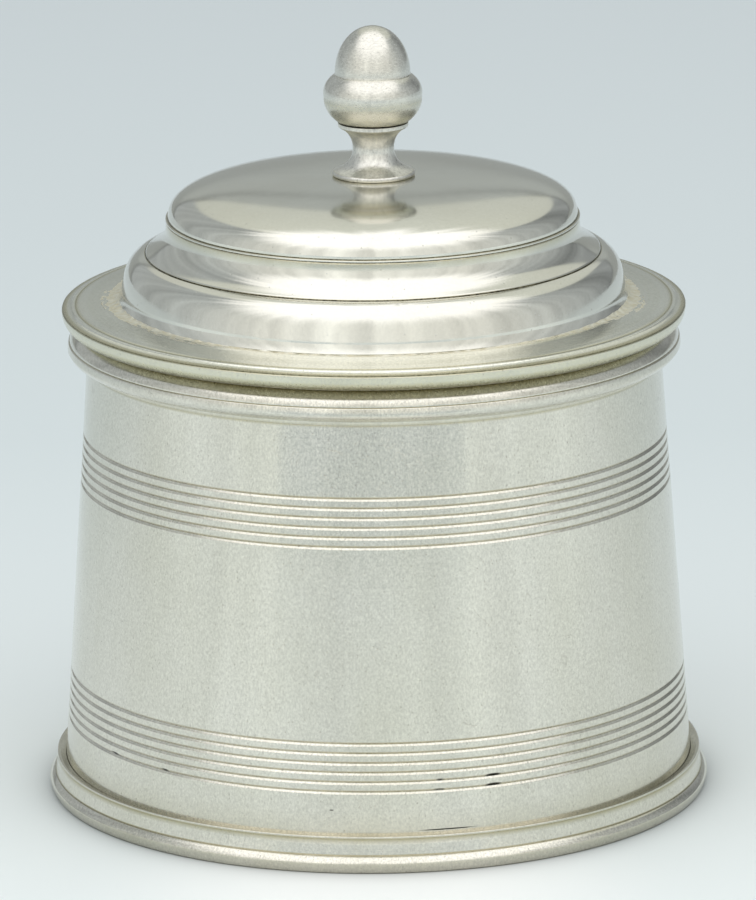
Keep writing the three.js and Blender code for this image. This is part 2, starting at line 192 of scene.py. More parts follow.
top_edge = tent("MapRange SMOOTHSTEP", (from_front, 45.0, 110.0, TOP_EDGE_FRONT, TOP_EDGE_SIDE))
for rise in ((from_front, 110.0, 150.0, 0.0, TOP_EDGE_BACK_RISE),
             (folds, 0.3, 0.7, TOP_EDGE_SWAY, -TOP_EDGE_SWAY)):
    top_edge = tent("Math ADD", (top_edge, tent("MapRange SMOOTHSTEP", rise)))
softness = tent("MapRange SMOOTHSTEP", (from_front, 50.0, 130.0, SOFTNESS_FRONT, SOFTNESS_BACK))
over_edge = tent("Math SUBTRACT", (elevation, top_edge))
is_top = tent("MapRange SMOOTHSTEP", (tent("Math DIVIDE", (over_edge, softness)), -1.0, 1.0))
print("top cloth begins", TOP_EDGE_FRONT, "degrees up in front and", TOP_EDGE_SIDE, "at the sides")

# %% [markdown]
# Behind the jar a warm panel slopes down and a sheet of paper rises up to it. They meet in a point on
# each side, with the paper's edge running down and out and the panel's edge running up and out. Their
# dark seams are the thin curved lines that every tier shows near its left and right ends.

# %% Back panel, back paper and their seams
BACK_PANEL = linear("#DADDD5")[:3]
BACK_PAPER = linear("#B0B5B3")[:3]
MEETING_ELEVATION = 18.0
MEETING_FROM_BACK = 13.0
PANEL_SLOPES = (1.0, 1.8)
PAPER_SLOPES = (-1.0, -1.6)
SEAM_LEVEL = 0.62
LEVEL_SEAM_SHARE = 0.7

over_meeting = tent("Math SUBTRACT", (elevation, MEETING_ELEVATION))
within = []
for left_slope, right_slope in (PANEL_SLOPES, PAPER_SLOPES):
    slope = tent("MapRange", (on_right, 0.0, 1.0, left_slope, right_slope))
    cloth_edge = tent("Math MULTIPLY_ADD", (over_meeting, slope, MEETING_FROM_BACK))
    within.append(tent("Math SUBTRACT", (cloth_edge, from_back)))
is_panel = tent("MapRange SMOOTHSTEP", (within[0], -2.0, 2.0))
is_paper = tent("MapRange SMOOTHSTEP", (within[1], -1.0, 1.0))
panel_level = tent("MapRange SMOOTHSTEP", (elevation, 16.0, 62.0, 0.92, 1.12))
panel = tent("VectorMath SCALE", {0: BACK_PANEL, "Scale": panel_level})
paper_level = tent("MapRange SMOOTHSTEP", (elevation, 8.0, 14.0, 0.82, 1.04))
back_paper = tent("VectorMath SCALE", {0: BACK_PAPER, "Scale": paper_level})

seam_line = tent("MapRange SMOOTHSTEP", (tent("Math ABSOLUTE", [within[1]]), 0.6, 3.2, 1.0, 0.0))
low_part = tent("MapRange SMOOTHSTEP", (over_meeting, 1.0, 4.0, 1.0, 0.0))
near_level = tent("Math ABSOLUTE", [over_meeting])
level_line = tent("MapRange SMOOTHSTEP", (near_level, 0.3, 1.8, LEVEL_SEAM_SHARE, 0.0))
back_part = tent("MapRange SMOOTHSTEP", (from_back, MEETING_FROM_BACK, MEETING_FROM_BACK + 4.0, 1.0, 0.0))
seams = [tent("Math MULTIPLY", pair) for pair in ((seam_line, low_part), (level_line, back_part))]
seam_level = tent("MapRange SMOOTHSTEP", (tent("Math MAXIMUM", seams), 0.0, 1.0, 1.0, SEAM_LEVEL))
print("panel and paper meet", MEETING_ELEVATION, "degrees up")

# %% [markdown]
# The zones are laid over each other from the side cloth up, and the whole is one background light.

# %% Put the tent together
TOP_STRENGTH = 1.5
TOP_CLOTH = [share * TOP_STRENGTH for share in linear("#FFFFFF")[:3]] + [1.0]

behind = tent("Mix RGBA", {0: is_panel, 6: side, 7: panel})
behind = tent("Mix RGBA", {0: is_paper, 6: behind, 7: back_paper})
behind = tent("VectorMath SCALE", {0: behind, "Scale": seam_level})
lit = tent("Mix RGBA", {0: is_top, 6: behind, 7: TOP_CLOTH})
tent("OutputWorld", {"Surface": tent("Background", {"Color": lit, "Strength": 1.0})})
print("tent nodes", len(world.node_tree.nodes))

# %% [markdown]
# The paper that the jar stands on is nearly white in front of the jar and falls off to a pale blue-grey
# behind. It is a plain matt disc whose colour changes along Y, a little under the foot so that the two
# don't share a plane. In front of the jar its colour has a painted pool of light. Farther in front,
# things outside the tent keep light off parts of it. The camera doesn't see that part, but the wall
# does, as upright bands.
#
# A matt paper under a round bead would have a contact shade a millimetre wide. The photograph's is
# wider, since the tent is lit from all sides, so the paper itself gets darker towards the foot.

# %% Paper and its colour from front to back
PAPER_RADIUS = 5.0
PAPER_DROP = 0.00005
PAPER_FRONT = linear("#E9F0F1")
PAPER_UNDER_JAR = linear("#E1E8EA")
PAPER_MIDDLE = linear("#D0D9DC")
PAPER_BEHIND = linear("#C4CCD0")
PAPER_PAINTED_LIGHT = linear("#FCFFFF")
PAINTED_LIGHT_PLACE = (0.0, 0.085, 0.0)
PAINTED_LIGHT_RADIUS = 0.068


def new_finish(name):
    """A material with an empty tree, and add_node for that tree."""
    material = bpy.data.materials.new(name)
    material.use_nodes = True
    material.node_tree.nodes.clear()
    return material, partial(add_node, material.node_tree)


bpy.ops.mesh.primitive_circle_add(vertices=128, radius=PAPER_RADIUS, fill_type="NGON",
                                  location=(0, 0, -PAPER_DROP))
paper = bpy.context.object
paper.name = "paper"

paper_finish, node = new_finish("matt_paper")
place = node("TexCoord").outputs["Object"]
away = node("SeparateXYZ", [place]).outputs
fall_off = node("ValToRGB", [node("MapRange", (away[1], -0.1, 0.9))])
stops = fall_off.color_ramp.elements
stops[0].color = PAPER_FRONT
stops[1].color = PAPER_BEHIND
stops.new(0.15).color = PAPER_UNDER_JAR
stops.new(0.4).color = PAPER_MIDDLE
# Painted light: the paper's colour brightens to a pool of light in front of the jar.
to_painted_light = node("VectorMath LENGTH", [node("VectorMath ADD", (place, PAINTED_LIGHT_PLACE))])
painted_light_share = node("MapRange SMOOTHSTEP", (to_painted_light, 0.2 * PAINTED_LIGHT_RADIUS, PAINTED_LIGHT_RADIUS, 1.0, 0.0))
with_painted_light = node("Mix RGBA", {0: painted_light_share, 6: fall_off, 7: PAPER_PAINTED_LIGHT})
print("paper reaches", PAPER_RADIUS, "m")

# %% Bands on the paper and the shade round the foot
BAND_START = 2.4
BANDS_PER_RADIAN = 2.6
BAND_DARKEST = 0.95
BAND_BRIGHTEST = 1.14
CONTACT_RADIUS = 0.0706
CONTACT_FADE = 0.0036
CONTACT_SHADE = 0.39

ahead = node("Math MULTIPLY", (away[1], -1.0))
bearing = node("Math ARCTAN2", (away[0], ahead))
band_place = node("Math ADD", (bearing, BAND_START))
bands = node("TexNoise 1D", {"W": band_place, "Scale": BANDS_PER_RADIAN, "Detail": 2.5})
band_level = node("MapRange", (bands, 0.3, 0.7, BAND_DARKEST, BAND_BRIGHTEST))
beyond_view = node("MapRange SMOOTHSTEP", (away[1], -0.105, -0.13))
shaded = node("Mix", {0: beyond_view, 2: 1.0, 3: band_level})
off_foot = node("Math SUBTRACT", (CONTACT_RADIUS, node("VectorMath LENGTH", [place])))
nearness = node("Math EXPONENT", [node("Math DIVIDE", (off_foot, CONTACT_FADE))])
close = node("MapRange", (nearness, 0.0, 1.0, 1.0, 1.0 - CONTACT_SHADE))
shaded = node("Math MULTIPLY", (shaded, close))
paper_colour = node("VectorMath SCALE", {0: with_painted_light, "Scale": shaded})
matt = node("BsdfPrincipled", {"Base Color": paper_colour, "Roughness": 0.9, "Specular IOR Level": 0.1})
node("OutputMaterial", {"Surface": matt})
paper.data.materials.append(paper_finish)
print("contact shade fades over", round(CONTACT_FADE / MM, 1), "mm")

# %% [markdown]
# The opening of the tent shows on the upper wall as a bluish rectangle. It is a grey card that stands
# in front of the jar and that only reflections see.

# %% The opening of the tent
CARD_LEFT = -0.49
CARD_RIGHT = 0.445
CARD_TOP = 0.06
CARD_AWAY = -0.66
CARD_COLOUR = linear("#C8D3DA")

card_corners = [(x, CARD_AWAY, z) for x, z in ((CARD_LEFT, 0.0), (CARD_RIGHT, 0.0),
                                               (CARD_RIGHT, CARD_TOP), (CARD_LEFT, CARD_TOP))]
card_mesh = bpy.data.meshes.new("tent_opening")
card_mesh.from_pydata(card_corners, [], [(0, 1, 2, 3)])
card = bpy.data.objects.new("tent_opening", card_mesh)
bpy.context.scene.collection.objects.link(card)
card.visible_camera = False
card.visible_diffuse = False
card.visible_shadow = False
card_finish, node = new_finish("tent_opening")
node("OutputMaterial", {"Surface": node("Emission", {"Color": CARD_COLOUR, "Strength": 1.0})})
card_mesh.materials.append(card_finish)
bpy.context.scene.view_settings.view_transform = "Standard"
print("the opening is", CARD_RIGHT - CARD_LEFT, "m wide")

# %% [markdown]
# Pewter is an alloy of tin that is turned on a lathe and never comes as bright as silver. Old pewter is
# a warm grey: the metal is coloured, so the colour goes in Base Color with Metallic at 1. Its surface
# was turned and rubbed round the axis, which leaves a grain of fine rings. A reflection is then blurred
# along the axis and stays crisp around it, which is what anisotropy with a tangent about Z gives.
#
# The six pewter finishes differ in numbers only, so each layer of wear is a function, and one function
# lays the layers. The first layer is what long use leaves in the metal: pits, which are dots in the
# cells of a Voronoi pattern, and thin curly scratches, which are the level lines of a soft noise.
# Pattern sizes are given in millimetres and turned into repeats per metre.

# %% Pits and scratches
PIT_CELL_MM = 0.8
LARGEST_PIT = 0.26
CURL_MM = 9.0
SCRATCH_PATCH_MM = 6.0


def repeats(size_mm):
    """Texture scale for a feature of this size, in a place measured in metres."""
    return 1.0 / (size_mm * MM)


def wear_marks(node, place, upright, drawn, pit_share, scratches):
    """Scratches alone, then pits and scratches together. Pits are 0.15 to 0.3 mm wide."""
    cells = node("TexVoronoi", {0: drawn, "Scale": repeats(PIT_CELL_MM)}).outputs
    which = node("SeparateColor", [cells["Color"]])
    pit_radius = node("MapRange", (which, 1.0 - pit_share, 1.0, 0.0, LARGEST_PIT))
    into_pit = node("Math SUBTRACT", (pit_radius, cells["Distance"]))
    pit = node("MapRange SMOOTHSTEP", (into_pit, 0.0, 0.1))

    curl = node("TexNoise", {0: upright, "Scale": repeats(CURL_MM), "Detail": 2.0, "Distortion": 0.8})
    off_line = node("Math ABSOLUTE", [node("Math SUBTRACT", (curl, 0.5))])
    line = node("MapRange", (off_line, 0.0016, 0.0050, 1.0, 0.0))
    patches = node("TexNoise", {0: place, "Scale": repeats(SCRATCH_PATCH_MM), "Detail": 0.0})
    in_patch = node("MapRange", (patches, 0.60, 0.68))
    scratch = node("Math MULTIPLY", (line, node("Math MULTIPLY", (in_patch, scratches))))
    return scratch, node("Math MAXIMUM", (pit, scratch))


print("pits lie in cells of", PIT_CELL_MM, "mm")

# %% [markdown]
# The second layer is the brown film of tarnish and old polish in the corners. The sections carry a
# vertex value called tarnish, 1 in a corner that a cloth never reaches. The film is a tint that
# multiplies the metal's colour, thin and yellow at first and nearly black where it is thick.

# %% Brown film
FILM_THIN = linear("#DEDAC6")
FILM_THICKER = linear("#89846F")
FILM_THICK = linear("#282620")


def brown_film(node, metal, grain):
    """The share of film, broken up by the grain, and the metal tinted by it."""
    tarnish = node("Attribute", attribute_name="tarnish").outputs["Fac"]
    broken = node("MapRange", (grain, 0.3, 0.65, 0.6, 1.2))
    film_share = node("Math MULTIPLY", (tarnish, broken), use_clamp=True)
    film = node("ValToRGB", [film_share])
    stops = film.color_ramp.elements
    stops[0].color = (1.0, 1.0, 1.0, 1.0)
    stops[1].color = FILM_THICK
    stops.new(0.35).color = FILM_THIN
    stops.new(0.7).color = FILM_THICKER
    return film_share, node("Mix RGBA", {0: 1.0, 6: metal, 7: film}, blend_type="MULTIPLY")


print("film darkens to", [round(share, 3) for share in FILM_THICK[:3]])

# %% [markdown]
# The third layer is relief too fine for the mesh: the rings that the tool left, the grain of the metal,
# and the pits and scratches. Bump nodes carry it one after the other.

# %% Fine relief of the lathe
RING_STRETCH = (3.0, 2.2, 1.0)


def lathe_relief(node, section, grain, marks, ringing, pit_depth):
    """The shading normal: rings round the axis, then grain, then pits and scratches."""
    ring_place = node("Mapping", {0: section, "Scale": RING_STRETCH})
    rings = node("TexNoise 2D", {0: ring_place, "Scale": 1.0, "Detail": 3.0})
    relief = node("Bump", {"Height": rings, "Distance": ringing * MM})
    relief = node("Bump", {"Height": grain, "Distance": ringing * MM, "Normal": relief})
    return node("Bump", {"Height": marks, "Distance": pit_depth * MM, "Normal": relief}, invert=True)


print("ring marks run round, about", round(1 / RING_STRETCH[1], 2), "mm apart")

# %% [markdown]
# The metal itself has cloudy warmer and cooler patches, some 20 mm across and drawn out upwards, and a
# fine grain with speckle in it. Film and scratches make it a little more matt.

# %% Pewter
CLOUD_MM = 20.0
CLOUD_RISE = 0.45
PIT_COLOUR = linear("#77746A")
PIT_STRENGTH = 0.26
FILM_ROUGHENS = 0.25
SCRATCH_ROUGHENS = 0.1


def pewter(name, bright, shade, roughness, ringing, pit_depth, pit_share, grain_mm, grain_tone,
           anisotropy, scratches=0.0, grain_rise=0.65):
    """Pewter turned on a lathe. Ringing and pit depth are in millimetres."""
    material, node = new_finish(name)
    place = node("TexCoord").outputs["Object"]
    section = node("UVMap", uv_map="section")
    upright = node("Mapping", {0: place, "Scale": (1.0, 1.0, CLOUD_RISE)})
    drawn = node("Mapping", {0: place, "Scale": (1.0, 1.0, grain_rise)})

    clouds = node("TexNoise", {0: upright, "Scale": repeats(CLOUD_MM), "Detail": 4.0})
    cloud_share = node("MapRange", (clouds, 0.3, 0.7))
    metal = node("Mix RGBA", {0: cloud_share, 6: linear(bright), 7: linear(shade)})
    grain = node("TexNoise", {0: drawn, "Scale": repeats(grain_mm), "Detail": 4.0, "Roughness": 0.75})
    grain_level = node("MapRange", (grain, 0.3, 0.7, 1.0 - grain_tone, 1.0 + 0.5 * grain_tone))
    grained = node("VectorMath SCALE", {0: metal, "Scale": grain_level})
    film_share, tinted = brown_film(node, grained, grain)
    scratch, marks = wear_marks(node, place, upright, drawn, pit_share, scratches)
    marked = node("Mix RGBA", {0: node("Math MULTIPLY", (marks, PIT_STRENGTH)), 6: tinted, 7: PIT_COLOUR})

    by_grain = node("MapRange", (grain, 0.3, 0.7, roughness * 0.85, roughness * 1.15))
    by_film = node("Math MULTIPLY_ADD", (film_share, FILM_ROUGHENS, by_grain))
    rough = node("Math MULTIPLY_ADD", (scratch, SCRATCH_ROUGHENS, by_film), use_clamp=True)
    surface = node("BsdfPrincipled", {
        "Base Color": marked, "Metallic": 1.0, "Roughness": rough,
        "Normal": lathe_relief(node, section, grain, marks, ringing, pit_depth),
        "Tangent": node("Tangent", direction_type="RADIAL", axis="Z"),
        "Anisotropic": anisotropy, "Anisotropic Rotation": 0.25})
    node("OutputMaterial", {"Surface": surface})
    return material


print("pewter clouds are", CLOUD_MM, "mm across")

# %% [markdown]
# The wall, foot and mouth were turned and rubbed satin. The lid's flange is more worn, and the dome was
# polished. The finial was cast, so its skin is coarser: the acorn was turned afterwards, while the stem
# kept more of the casting. The inside was never polished and has gone dull.

# %% The six pewter finishes
satin_pewter = pewter("satin_turned_pewter", "#E4E1D7", "#DBD8CB", roughness=0.15, ringing=0.003,
                      pit_depth=0.02, pit_share=0.55, grain_mm=0.42, grain_tone=0.26, anisotropy=0.75,
                      scratches=0.5)
flange_pewter = pewter("worn_flange_pewter", "#EEEEE4", "#E8E7DB", roughness=0.17, ringing=0.004,
                       pit_depth=0.03, pit_share=0.6, grain_mm=0.5, grain_tone=0.2, anisotropy=0.6)
polished_pewter = pewter("polished_turned_pewter", "#E3E2DA", "#DDDBD1", roughness=0.12, ringing=0.001,
                         pit_depth=0.02, pit_share=0.15, grain_mm=0.6, grain_tone=0.05, anisotropy=0.5)
cast_pewter = pewter("cast_pewter_finial", "#E5E4DD", "#DAD8CF", roughness=0.24, ringing=0.008,
                     pit_depth=0.04, pit_share=0.6, grain_mm=0.7, grain_tone=0.22, anisotropy=0.3,
                     grain_rise=2.0)
stem_pewter = pewter("rough_cast_pewter_stem", "#E9E8E2", "#DEDCD4", roughness=0.31, ringing=0.012,
                     pit_depth=0.05, pit_share=0.7, grain_mm=0.6, grain_tone=0.3, anisotropy=0.0)
inside_pewter = pewter("dull_inside_pewter", "#C2C0B4", "#A9A698", roughness=0.42, ringing=0.008,
                       pit_depth=0.03, pit_share=0.4, grain_mm=1.0, grain_tone=0.08, anisotropy=0.5)
pewters = (satin_pewter, flange_pewter, polished_pewter, cast_pewter, stem_pewter, inside_pewter)
print("pewter finishes", [finish.name for finish in pewters])

# %% [markdown]
# Solder is a tin and lead alloy that was run into the corner between dome and flange. It froze rough
# and has yellowed, so its relief is geometry and its finish only adds a warmer metal with a matt,
# uneven skin.

# %% Solder
CRUST_MM = 1.4

solder_finish, node = new_finish("yellowed_solder")
place = node("TexCoord").outputs["Object"]
crust = node("TexNoise", {0: place, "Scale": repeats(CRUST_MM), "Detail": 5.0})
crust_share = node("MapRange", (crust, 0.35, 0.65))
solder_metal = node("BsdfPrincipled", {
    "Base Color": node("Mix RGBA", {0: crust_share, 6: linear("#E8E6DA"), 7: linear("#D8D2BC")}),
    "Normal": node("Bump", {"Height": crust, "Distance": 0.03 * MM}),
    "Roughness": node("MapRange", (crust, 0.0, 1.0, 0.3, 0.5)), "Metallic": 1.0})
node("OutputMaterial", {"Surface": solder_metal})
print("solder crust is", CRUST_MM, "mm coarse")

# %% [markdown]
# The fittings under the lid are turned brass and spun aluminium. Both are metals with the lathe's rings
# on them; brass has spots of brown oxide, and spun aluminium is greyer and more matt.

# %% Brass and aluminium
OXIDE_MM = 3.0


def spun_metal(name, clean, dull, roughness, ring_mm):
    """A turned or spun metal with fine rings and clouded patches of oxide."""
    material, node = new_finish(name)
    place = node("TexCoord").outputs["Object"]
    oxide = node("TexNoise", {0: place, "Scale": repeats(OXIDE_MM), "Detail": 5.0})
    oxide_share = node("MapRange", (oxide, 0.4, 0.7))
    section = node("UVMap", uv_map="section")
    ring_place = node("Mapping", {0: section, "Scale": (2.0, 1.0 / ring_mm, 1.0)})
    rings = node("TexNoise 2D", {0: ring_place, "Scale": 1.0, "Detail": 2.0})
    surface = node("BsdfPrincipled", {
        "Base Color": node("Mix RGBA", {0: oxide_share, 6: linear(clean), 7: linear(dull)}),
        "Normal": node("Bump", {"Height": rings, "Distance": 0.01 * MM}),
        "Roughness": node("MapRange", (oxide, 0.0, 1.0, roughness * 0.8, roughness * 1.4)),
        "Metallic": 1.0})
    node("OutputMaterial", {"Surface": surface})
    return material


brass = spun_metal("turned_brass", "#E0C27C", "#8F6F3A", roughness=0.24, ring_mm=0.3)
aluminium = spun_metal("spun_aluminium", "#D5D8DA", "#B4B6B6", roughness=0.36, ring_mm=0.5)
print("fittings are", brass.name, "and", aluminium.name)

# %% [markdown]
# The sponge holds the water. It is an open-pored cellulose sponge: matt, tan, with round pores of one
# to two millimetres that are dark because light doesn't come back out of them.

# %% Sponge
PORE_MM = 1.6
SMALL_PORE_MM = 0.7
PORE_DEPTH_MM = 0.8

sponge_finish, node = new_finish("open_pored_sponge")
place = node("TexCoord").outputs["Object"]
pores = [node("TexVoronoi", {0: place, "Scale": repeats(size)}) for size in (PORE_MM, SMALL_PORE_MM)]
wall_share = node("MapRange", (node("Math MINIMUM", pores), 0.1, 0.42))
foam = node("BsdfPrincipled", {
    "Base Color": node("Mix RGBA", {0: wall_share, 6: linear("#4A3F2A"), 7: linear("#B9A377")}),
    "Normal": node("Bump", {"Height": wall_share, "Distance": PORE_DEPTH_MM * MM}),
    "Roughness": 0.95})
node("OutputMaterial", {"Surface": foam})
print("sponge pores are", SMALL_PORE_MM, "to", PORE_MM, "mm")

# %% [markdown]
# Nearly every piece is a section swept round the axis, as on the lathe. A section is a list of corners
# in millimetres: radius, height, how far the corner is rounded and how tarnished it is. Between two
# corners `bow` draws a shallow curve, and `sweep` a curve that faces given directions on its way, which
# is what counts on a bright metal, since the direction decides what each row of the curve mirrors.

# %% Corners and curves of a section
class Corner:
    """One corner of a section, in millimetres."""

    def __init__(self, r, z, rounding=0.0, tarnish=0.0):
        self.r, self.z, self.rounding, self.tarnish = r, z, rounding, tarnish


def corners(r, z, *rows):
    """Corners set out from one point. A row is (out, up, rounding, tarnish); the last two may be left."""
    return [Corner(r + out, z + up, *more) for out, up, *more in rows]


def bow(a, b, swell, steps=14):
    """Corners between a and b on a shallow curve that swells to the right of the way."""
    length = math.hypot(b.r - a.r, b.z - a.z)
    out_r, out_z = (b.z - a.z) / length, -(b.r - a.r) / length
    between = []
    for i in range(1, steps):
        t = i / steps
        out = 4 * swell * t * (1 - t)
        between.append(Corner(a.r + (b.r - a.r) * t + out_r * out, a.z + (b.z - a.z) * t + out_z * out,
                              0.0, a.tarnish + (b.tarnish - a.tarnish) * t))
    return between


def sweep(a, b, *normals, steps=24, tarnish=(0.0, 0.0)):
    """Corners from a up to b on a curve whose outward normal passes through these angles above level,
    spaced evenly along it. The whole curve is turned and scaled a little so that it ends on b. The
    tarnish passes from its first value to its second."""
    angle = np.radians(np.interp(np.linspace(0, 1, steps), np.linspace(0, 1, len(normals)), normals))
    path = np.cumsum(-np.sin(angle) + 1j * np.cos(angle))
    fit = complex(b.r - a.r, b.z - a.z) / path[-1]
    film = np.linspace(*tarnish, steps)
    return [Corner(a.r + (p * fit).real, a.z + (p * fit).imag, 0.0, t) for p, t in zip(path[:-1], film)]


half_round = sweep(Corner(5.0, 0.0), Corner(5.0, 2.0), -90, 0, 90, steps=200)
stands_out = max(corner.r for corner in half_round) - 5.0
print("a half-round bead 2 mm high stands out", round(stands_out, 2), "mm")

# %% [markdown]
# `soften` rounds the corners, because a real edge always catches a line of light. A subdivision surface
# could round them too, but it would shrink the section. `wander` is a slow waviness that closes on
# itself round the axis: no spun sheet is perfectly round.

# %% Rounded corners and waviness
LONGEST_STEP_MM = 3.0
ROUND_SHARE = 0.45
ROUND_STEPS = 6
WANDER_WAVES = (2, 3, 5, 9, 14, 23, 41, 58)


def soften(section, closed):
    """Rounds the corners of a section and splits long straight stretches."""
    rounded = []
    count = len(section)
    for i, here in enumerate(section):
        before, after = section[i - 1], section[(i + 1) % count]
        if here.rounding == 0 or (not closed and i in (0, count - 1)):
            rounded.append((here.r, here.z, here.tarnish))
            continue
        middle = np.array((here.r, here.z))
        back, on = np.array((before.r, before.z)) - middle, np.array((after.r, after.z)) - middle
        cut = min(here.rounding, ROUND_SHARE * np.linalg.norm(back), ROUND_SHARE * np.linalg.norm(on))
        start, end = middle + back / np.linalg.norm(back) * cut, middle + on / np.linalg.norm(on) * cut
        for t in np.linspace(0.0, 1.0, ROUND_STEPS):
            point = start * (1 - t) ** 2 + middle * 2 * t * (1 - t) + end * t ** 2
            rounded.append((*point, here.tarnish))
    fine = []
    for i, a in enumerate(rounded):
        fine.append(a)
        if not closed and i == len(rounded) - 1:
            break
        b = rounded[(i + 1) % len(rounded)]
        pieces = int(math.hypot(b[0] - a[0], b[1] - a[1]) // LONGEST_STEP_MM)
        for k in range(1, pieces + 1):
            t = k / (pieces + 1)
            fine.append(tuple(a[n] + (b[n] - a[n]) * t for n in range(3)))
    return np.array(fine)


def wander(angle, z, seed):
    """A slow, smooth wandering between about -1 and 1 that closes on itself round the axis."""
    draw = np.random.default_rng(seed)
    total = np.zeros(np.broadcast(angle, z).shape)
    for waves in WANDER_WAVES:
        along = draw.uniform(-0.12, 0.12)
        total += np.cos(waves * angle + along * z + draw.uniform(0, 2 * math.pi)) / waves ** 0.7
    return total / 2.2


once_round = wander(np.linspace(0, 2 * math.pi, 90), 0.0, 3)
print("waviness lies between", round(once_round.min(), 2), "and", round(once_round.max(), 2))

# %% [markdown]
# The mesh of a swept section is a grid: one ring of points for each point of the section. `measure`
# finds the section's direction, which small dents and the waviness move the surface square to, and the
# millimetres along it. `ring_faces` joins the rings. Its UV map holds the share of a turn and those
# millimetres, which is what ring marks follow.

# %% Measuring a section and joining its rings
def measure(points, on_axis):
    """The section's direction at each point, and the millimetres along it."""
    following, leading = np.roll(points, -1, 0), np.roll(points, 1, 0)
    if on_axis:
        following[-1], leading[0] = points[-1], points[0]
    run = following[:, :2] - leading[:, :2]
    run /= np.maximum(np.linalg.norm(run, axis=1), 1e-9)[:, None]
    steps_mm = np.linalg.norm(np.roll(points, -1, 0)[:, :2] - points[:, :2], axis=1)
    return run, np.concatenate([[0.0], np.cumsum(steps_mm)])


def ring_faces(radii, segments, way, on_axis):
    """Faces between the rings, as triangles where a ring is a point on the axis, and their UV places."""
    faces, places = [], []
    count = len(radii)
    for i in range(count - 1 if on_axis else count):
        j = (i + 1) % count
        for k in range(segments):
            m = (k + 1) % segments
            quad = [(i, k, k), (i, m, k + 1), (j, m, k + 1), (j, k, k)]
            if radii[i] == 0:
                quad.pop(1)
            elif radii[j] == 0:
                quad.pop(2)
            faces.append([p * segments + q for p, q, _ in quad])
            places.extend((turned / segments - 0.5, way[i + 1] if p == j else way[i])
                          for p, _, turned in quad)
    return faces, places


print("a tube of 2 rings and 8 segments has", len(ring_faces([1, 1], 8, [0, 1, 2], False)[0]), "faces")

# %% [markdown]
# `turn` makes the mesh. The angle is 0 towards the camera and grows to the right, with the seam of its
# UV map at the back. A section whose first corner lies on the axis is left open there and closed by a
# fan; any other section closes on itself. Whatever moves the surface, it never leaves the section's own
# largest radius and height, so the piece stays inside its solid.

# %% The lathe
RING_POINTS = 256


def turn(name, section, segments=RING_POINTS, waviness=0.0, seed=1, dents=(), shape=None, shift=0.0):
    """A mesh object swept from a section. Dents are (degrees, height, width, depth), in millimetres."""
    on_axis = section[0].r == 0
    points = soften(section, closed=not on_axis)
    r, z, film = points[:, 0], points[:, 1], points[:, 2]
    run, way = measure(points, on_axis)

    angle = (np.arange(segments) / segments - 0.5) * 2 * math.pi
    rr, zz, ff = (np.repeat(column[:, None], segments, 1) for column in (r, z, film))
    aa = np.repeat(angle[None, :], len(points), 0)
    push = waviness * wander(aa, zz, seed) if waviness else np.zeros_like(rr)
    for degrees, level, width, depth in dents:
        nearest = int(np.argmin(np.abs(z - level) - 0.001 * r))
        round_to = (aa - math.radians(degrees)) * r[nearest]
        gap = np.hypot(round_to, np.hypot(rr - r[nearest], zz - z[nearest]))
        push -= depth * np.exp(-(gap / width) ** 2)
    rr = np.minimum(rr + push * run[:, 1:2], r.max())
    zz = np.clip(zz - push * run[:, 0:1], z.min(), z.max())
    if shape is not None:
        rr, zz = shape(aa, rr, zz)
    if on_axis:
        rr[0], rr[-1] = 0.0, 0.0
    verts = np.stack([rr * np.sin(aa) + shift, -rr * np.cos(aa), zz], -1).reshape(-1, 3) * MM

    faces, places = ring_faces(rr[:, 0], segments, way, on_axis)
    mesh = bpy.data.meshes.new(name)
    mesh.from_pydata(verts.tolist(), [], faces)
    mesh.uv_layers.new(name="section").data.foreach_set("uv", np.array(places, np.float32).ravel())
    tarnish = mesh.attributes.new("tarnish", "FLOAT", "POINT")
    tarnish.data.foreach_set("value", ff.reshape(-1).astype(np.float32))
    return finished(name, mesh)


def finished(name, mesh):
    """An object of a smooth mesh whose large faces decide the shading."""
    mesh.shade_smooth()
    piece = bpy.data.objects.new(name, mesh)
    bpy.context.scene.collection.objects.link(piece)
    piece.modifiers.new("even_shading", "WEIGHTED_NORMAL")
    return piece


print("a turned piece is a ring of", RING_POINTS, "points, unless it needs more or fewer")

# %% [markdown]
# Each piece stands for its node of the CAD frame. `extent` reads that node's size, so the sections below
# are set out from the solid, and `hang` gives the piece its finish, its body and its place.

# %% Hanging a piece in the frame
def extent(node_name):
    """Largest radius, lowest and highest point of a CAD node, in millimetres."""
    low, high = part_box(node_name)
    return high.x / MM, low.z / MM, high.z / MM


def hang(piece, material, slot, body, *node_names):
    """Gives a piece its finish and its place in the frame: it stands for these nodes."""
    piece.data.materials.clear()
    piece.data.materials.append(material)
    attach(piece, body)
    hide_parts(*node_names)
    print(piece.name, len(piece.data.polygons), "faces, on", body)


print("radius, foot and top of the wall in mm", [round(size, 2) for size in extent("jar_wall")])

# %% [markdown]
# The jar's wall is a tapered tube of sheet pewter, wider at the foot, with two bands of six lines cut
# into it on the lathe. The tool leaned: each line has a long lower flank, which catches the overhead
# cloth as a crisp white line, and a short upper flank with a little film. So the line is real geometry,
# with a rounded bottom and softened edges.

# %% Jar wall
FOOT_RADIUS, WALL_LOW, WALL_HIGH = extent("jar_wall")
WALL_TOP_RADIUS = 60.95
WALL_THICKNESS = 1.8
GROOVES = 6
GROOVE_PITCH = 2.04
GROOVE_DEPTH = 0.40
LOWER_FLANK = 0.55
UPPER_FLANK = 0.24
GROOVE_EDGE = 0.07
LOWER_BAND = WALL_LOW + 14.6
UPPER_BAND = WALL_HIGH - 20.4 - (GROOVES - 1) * GROOVE_PITCH
FILM_ABOVE_FOOT = ((6.6, 0.12), (7.5, 0.08), (8.6, 0.08), (12.5, 0.0))
FILM_UNDER_RIM = ((93.0, 0.0), (93.5, 0.3))


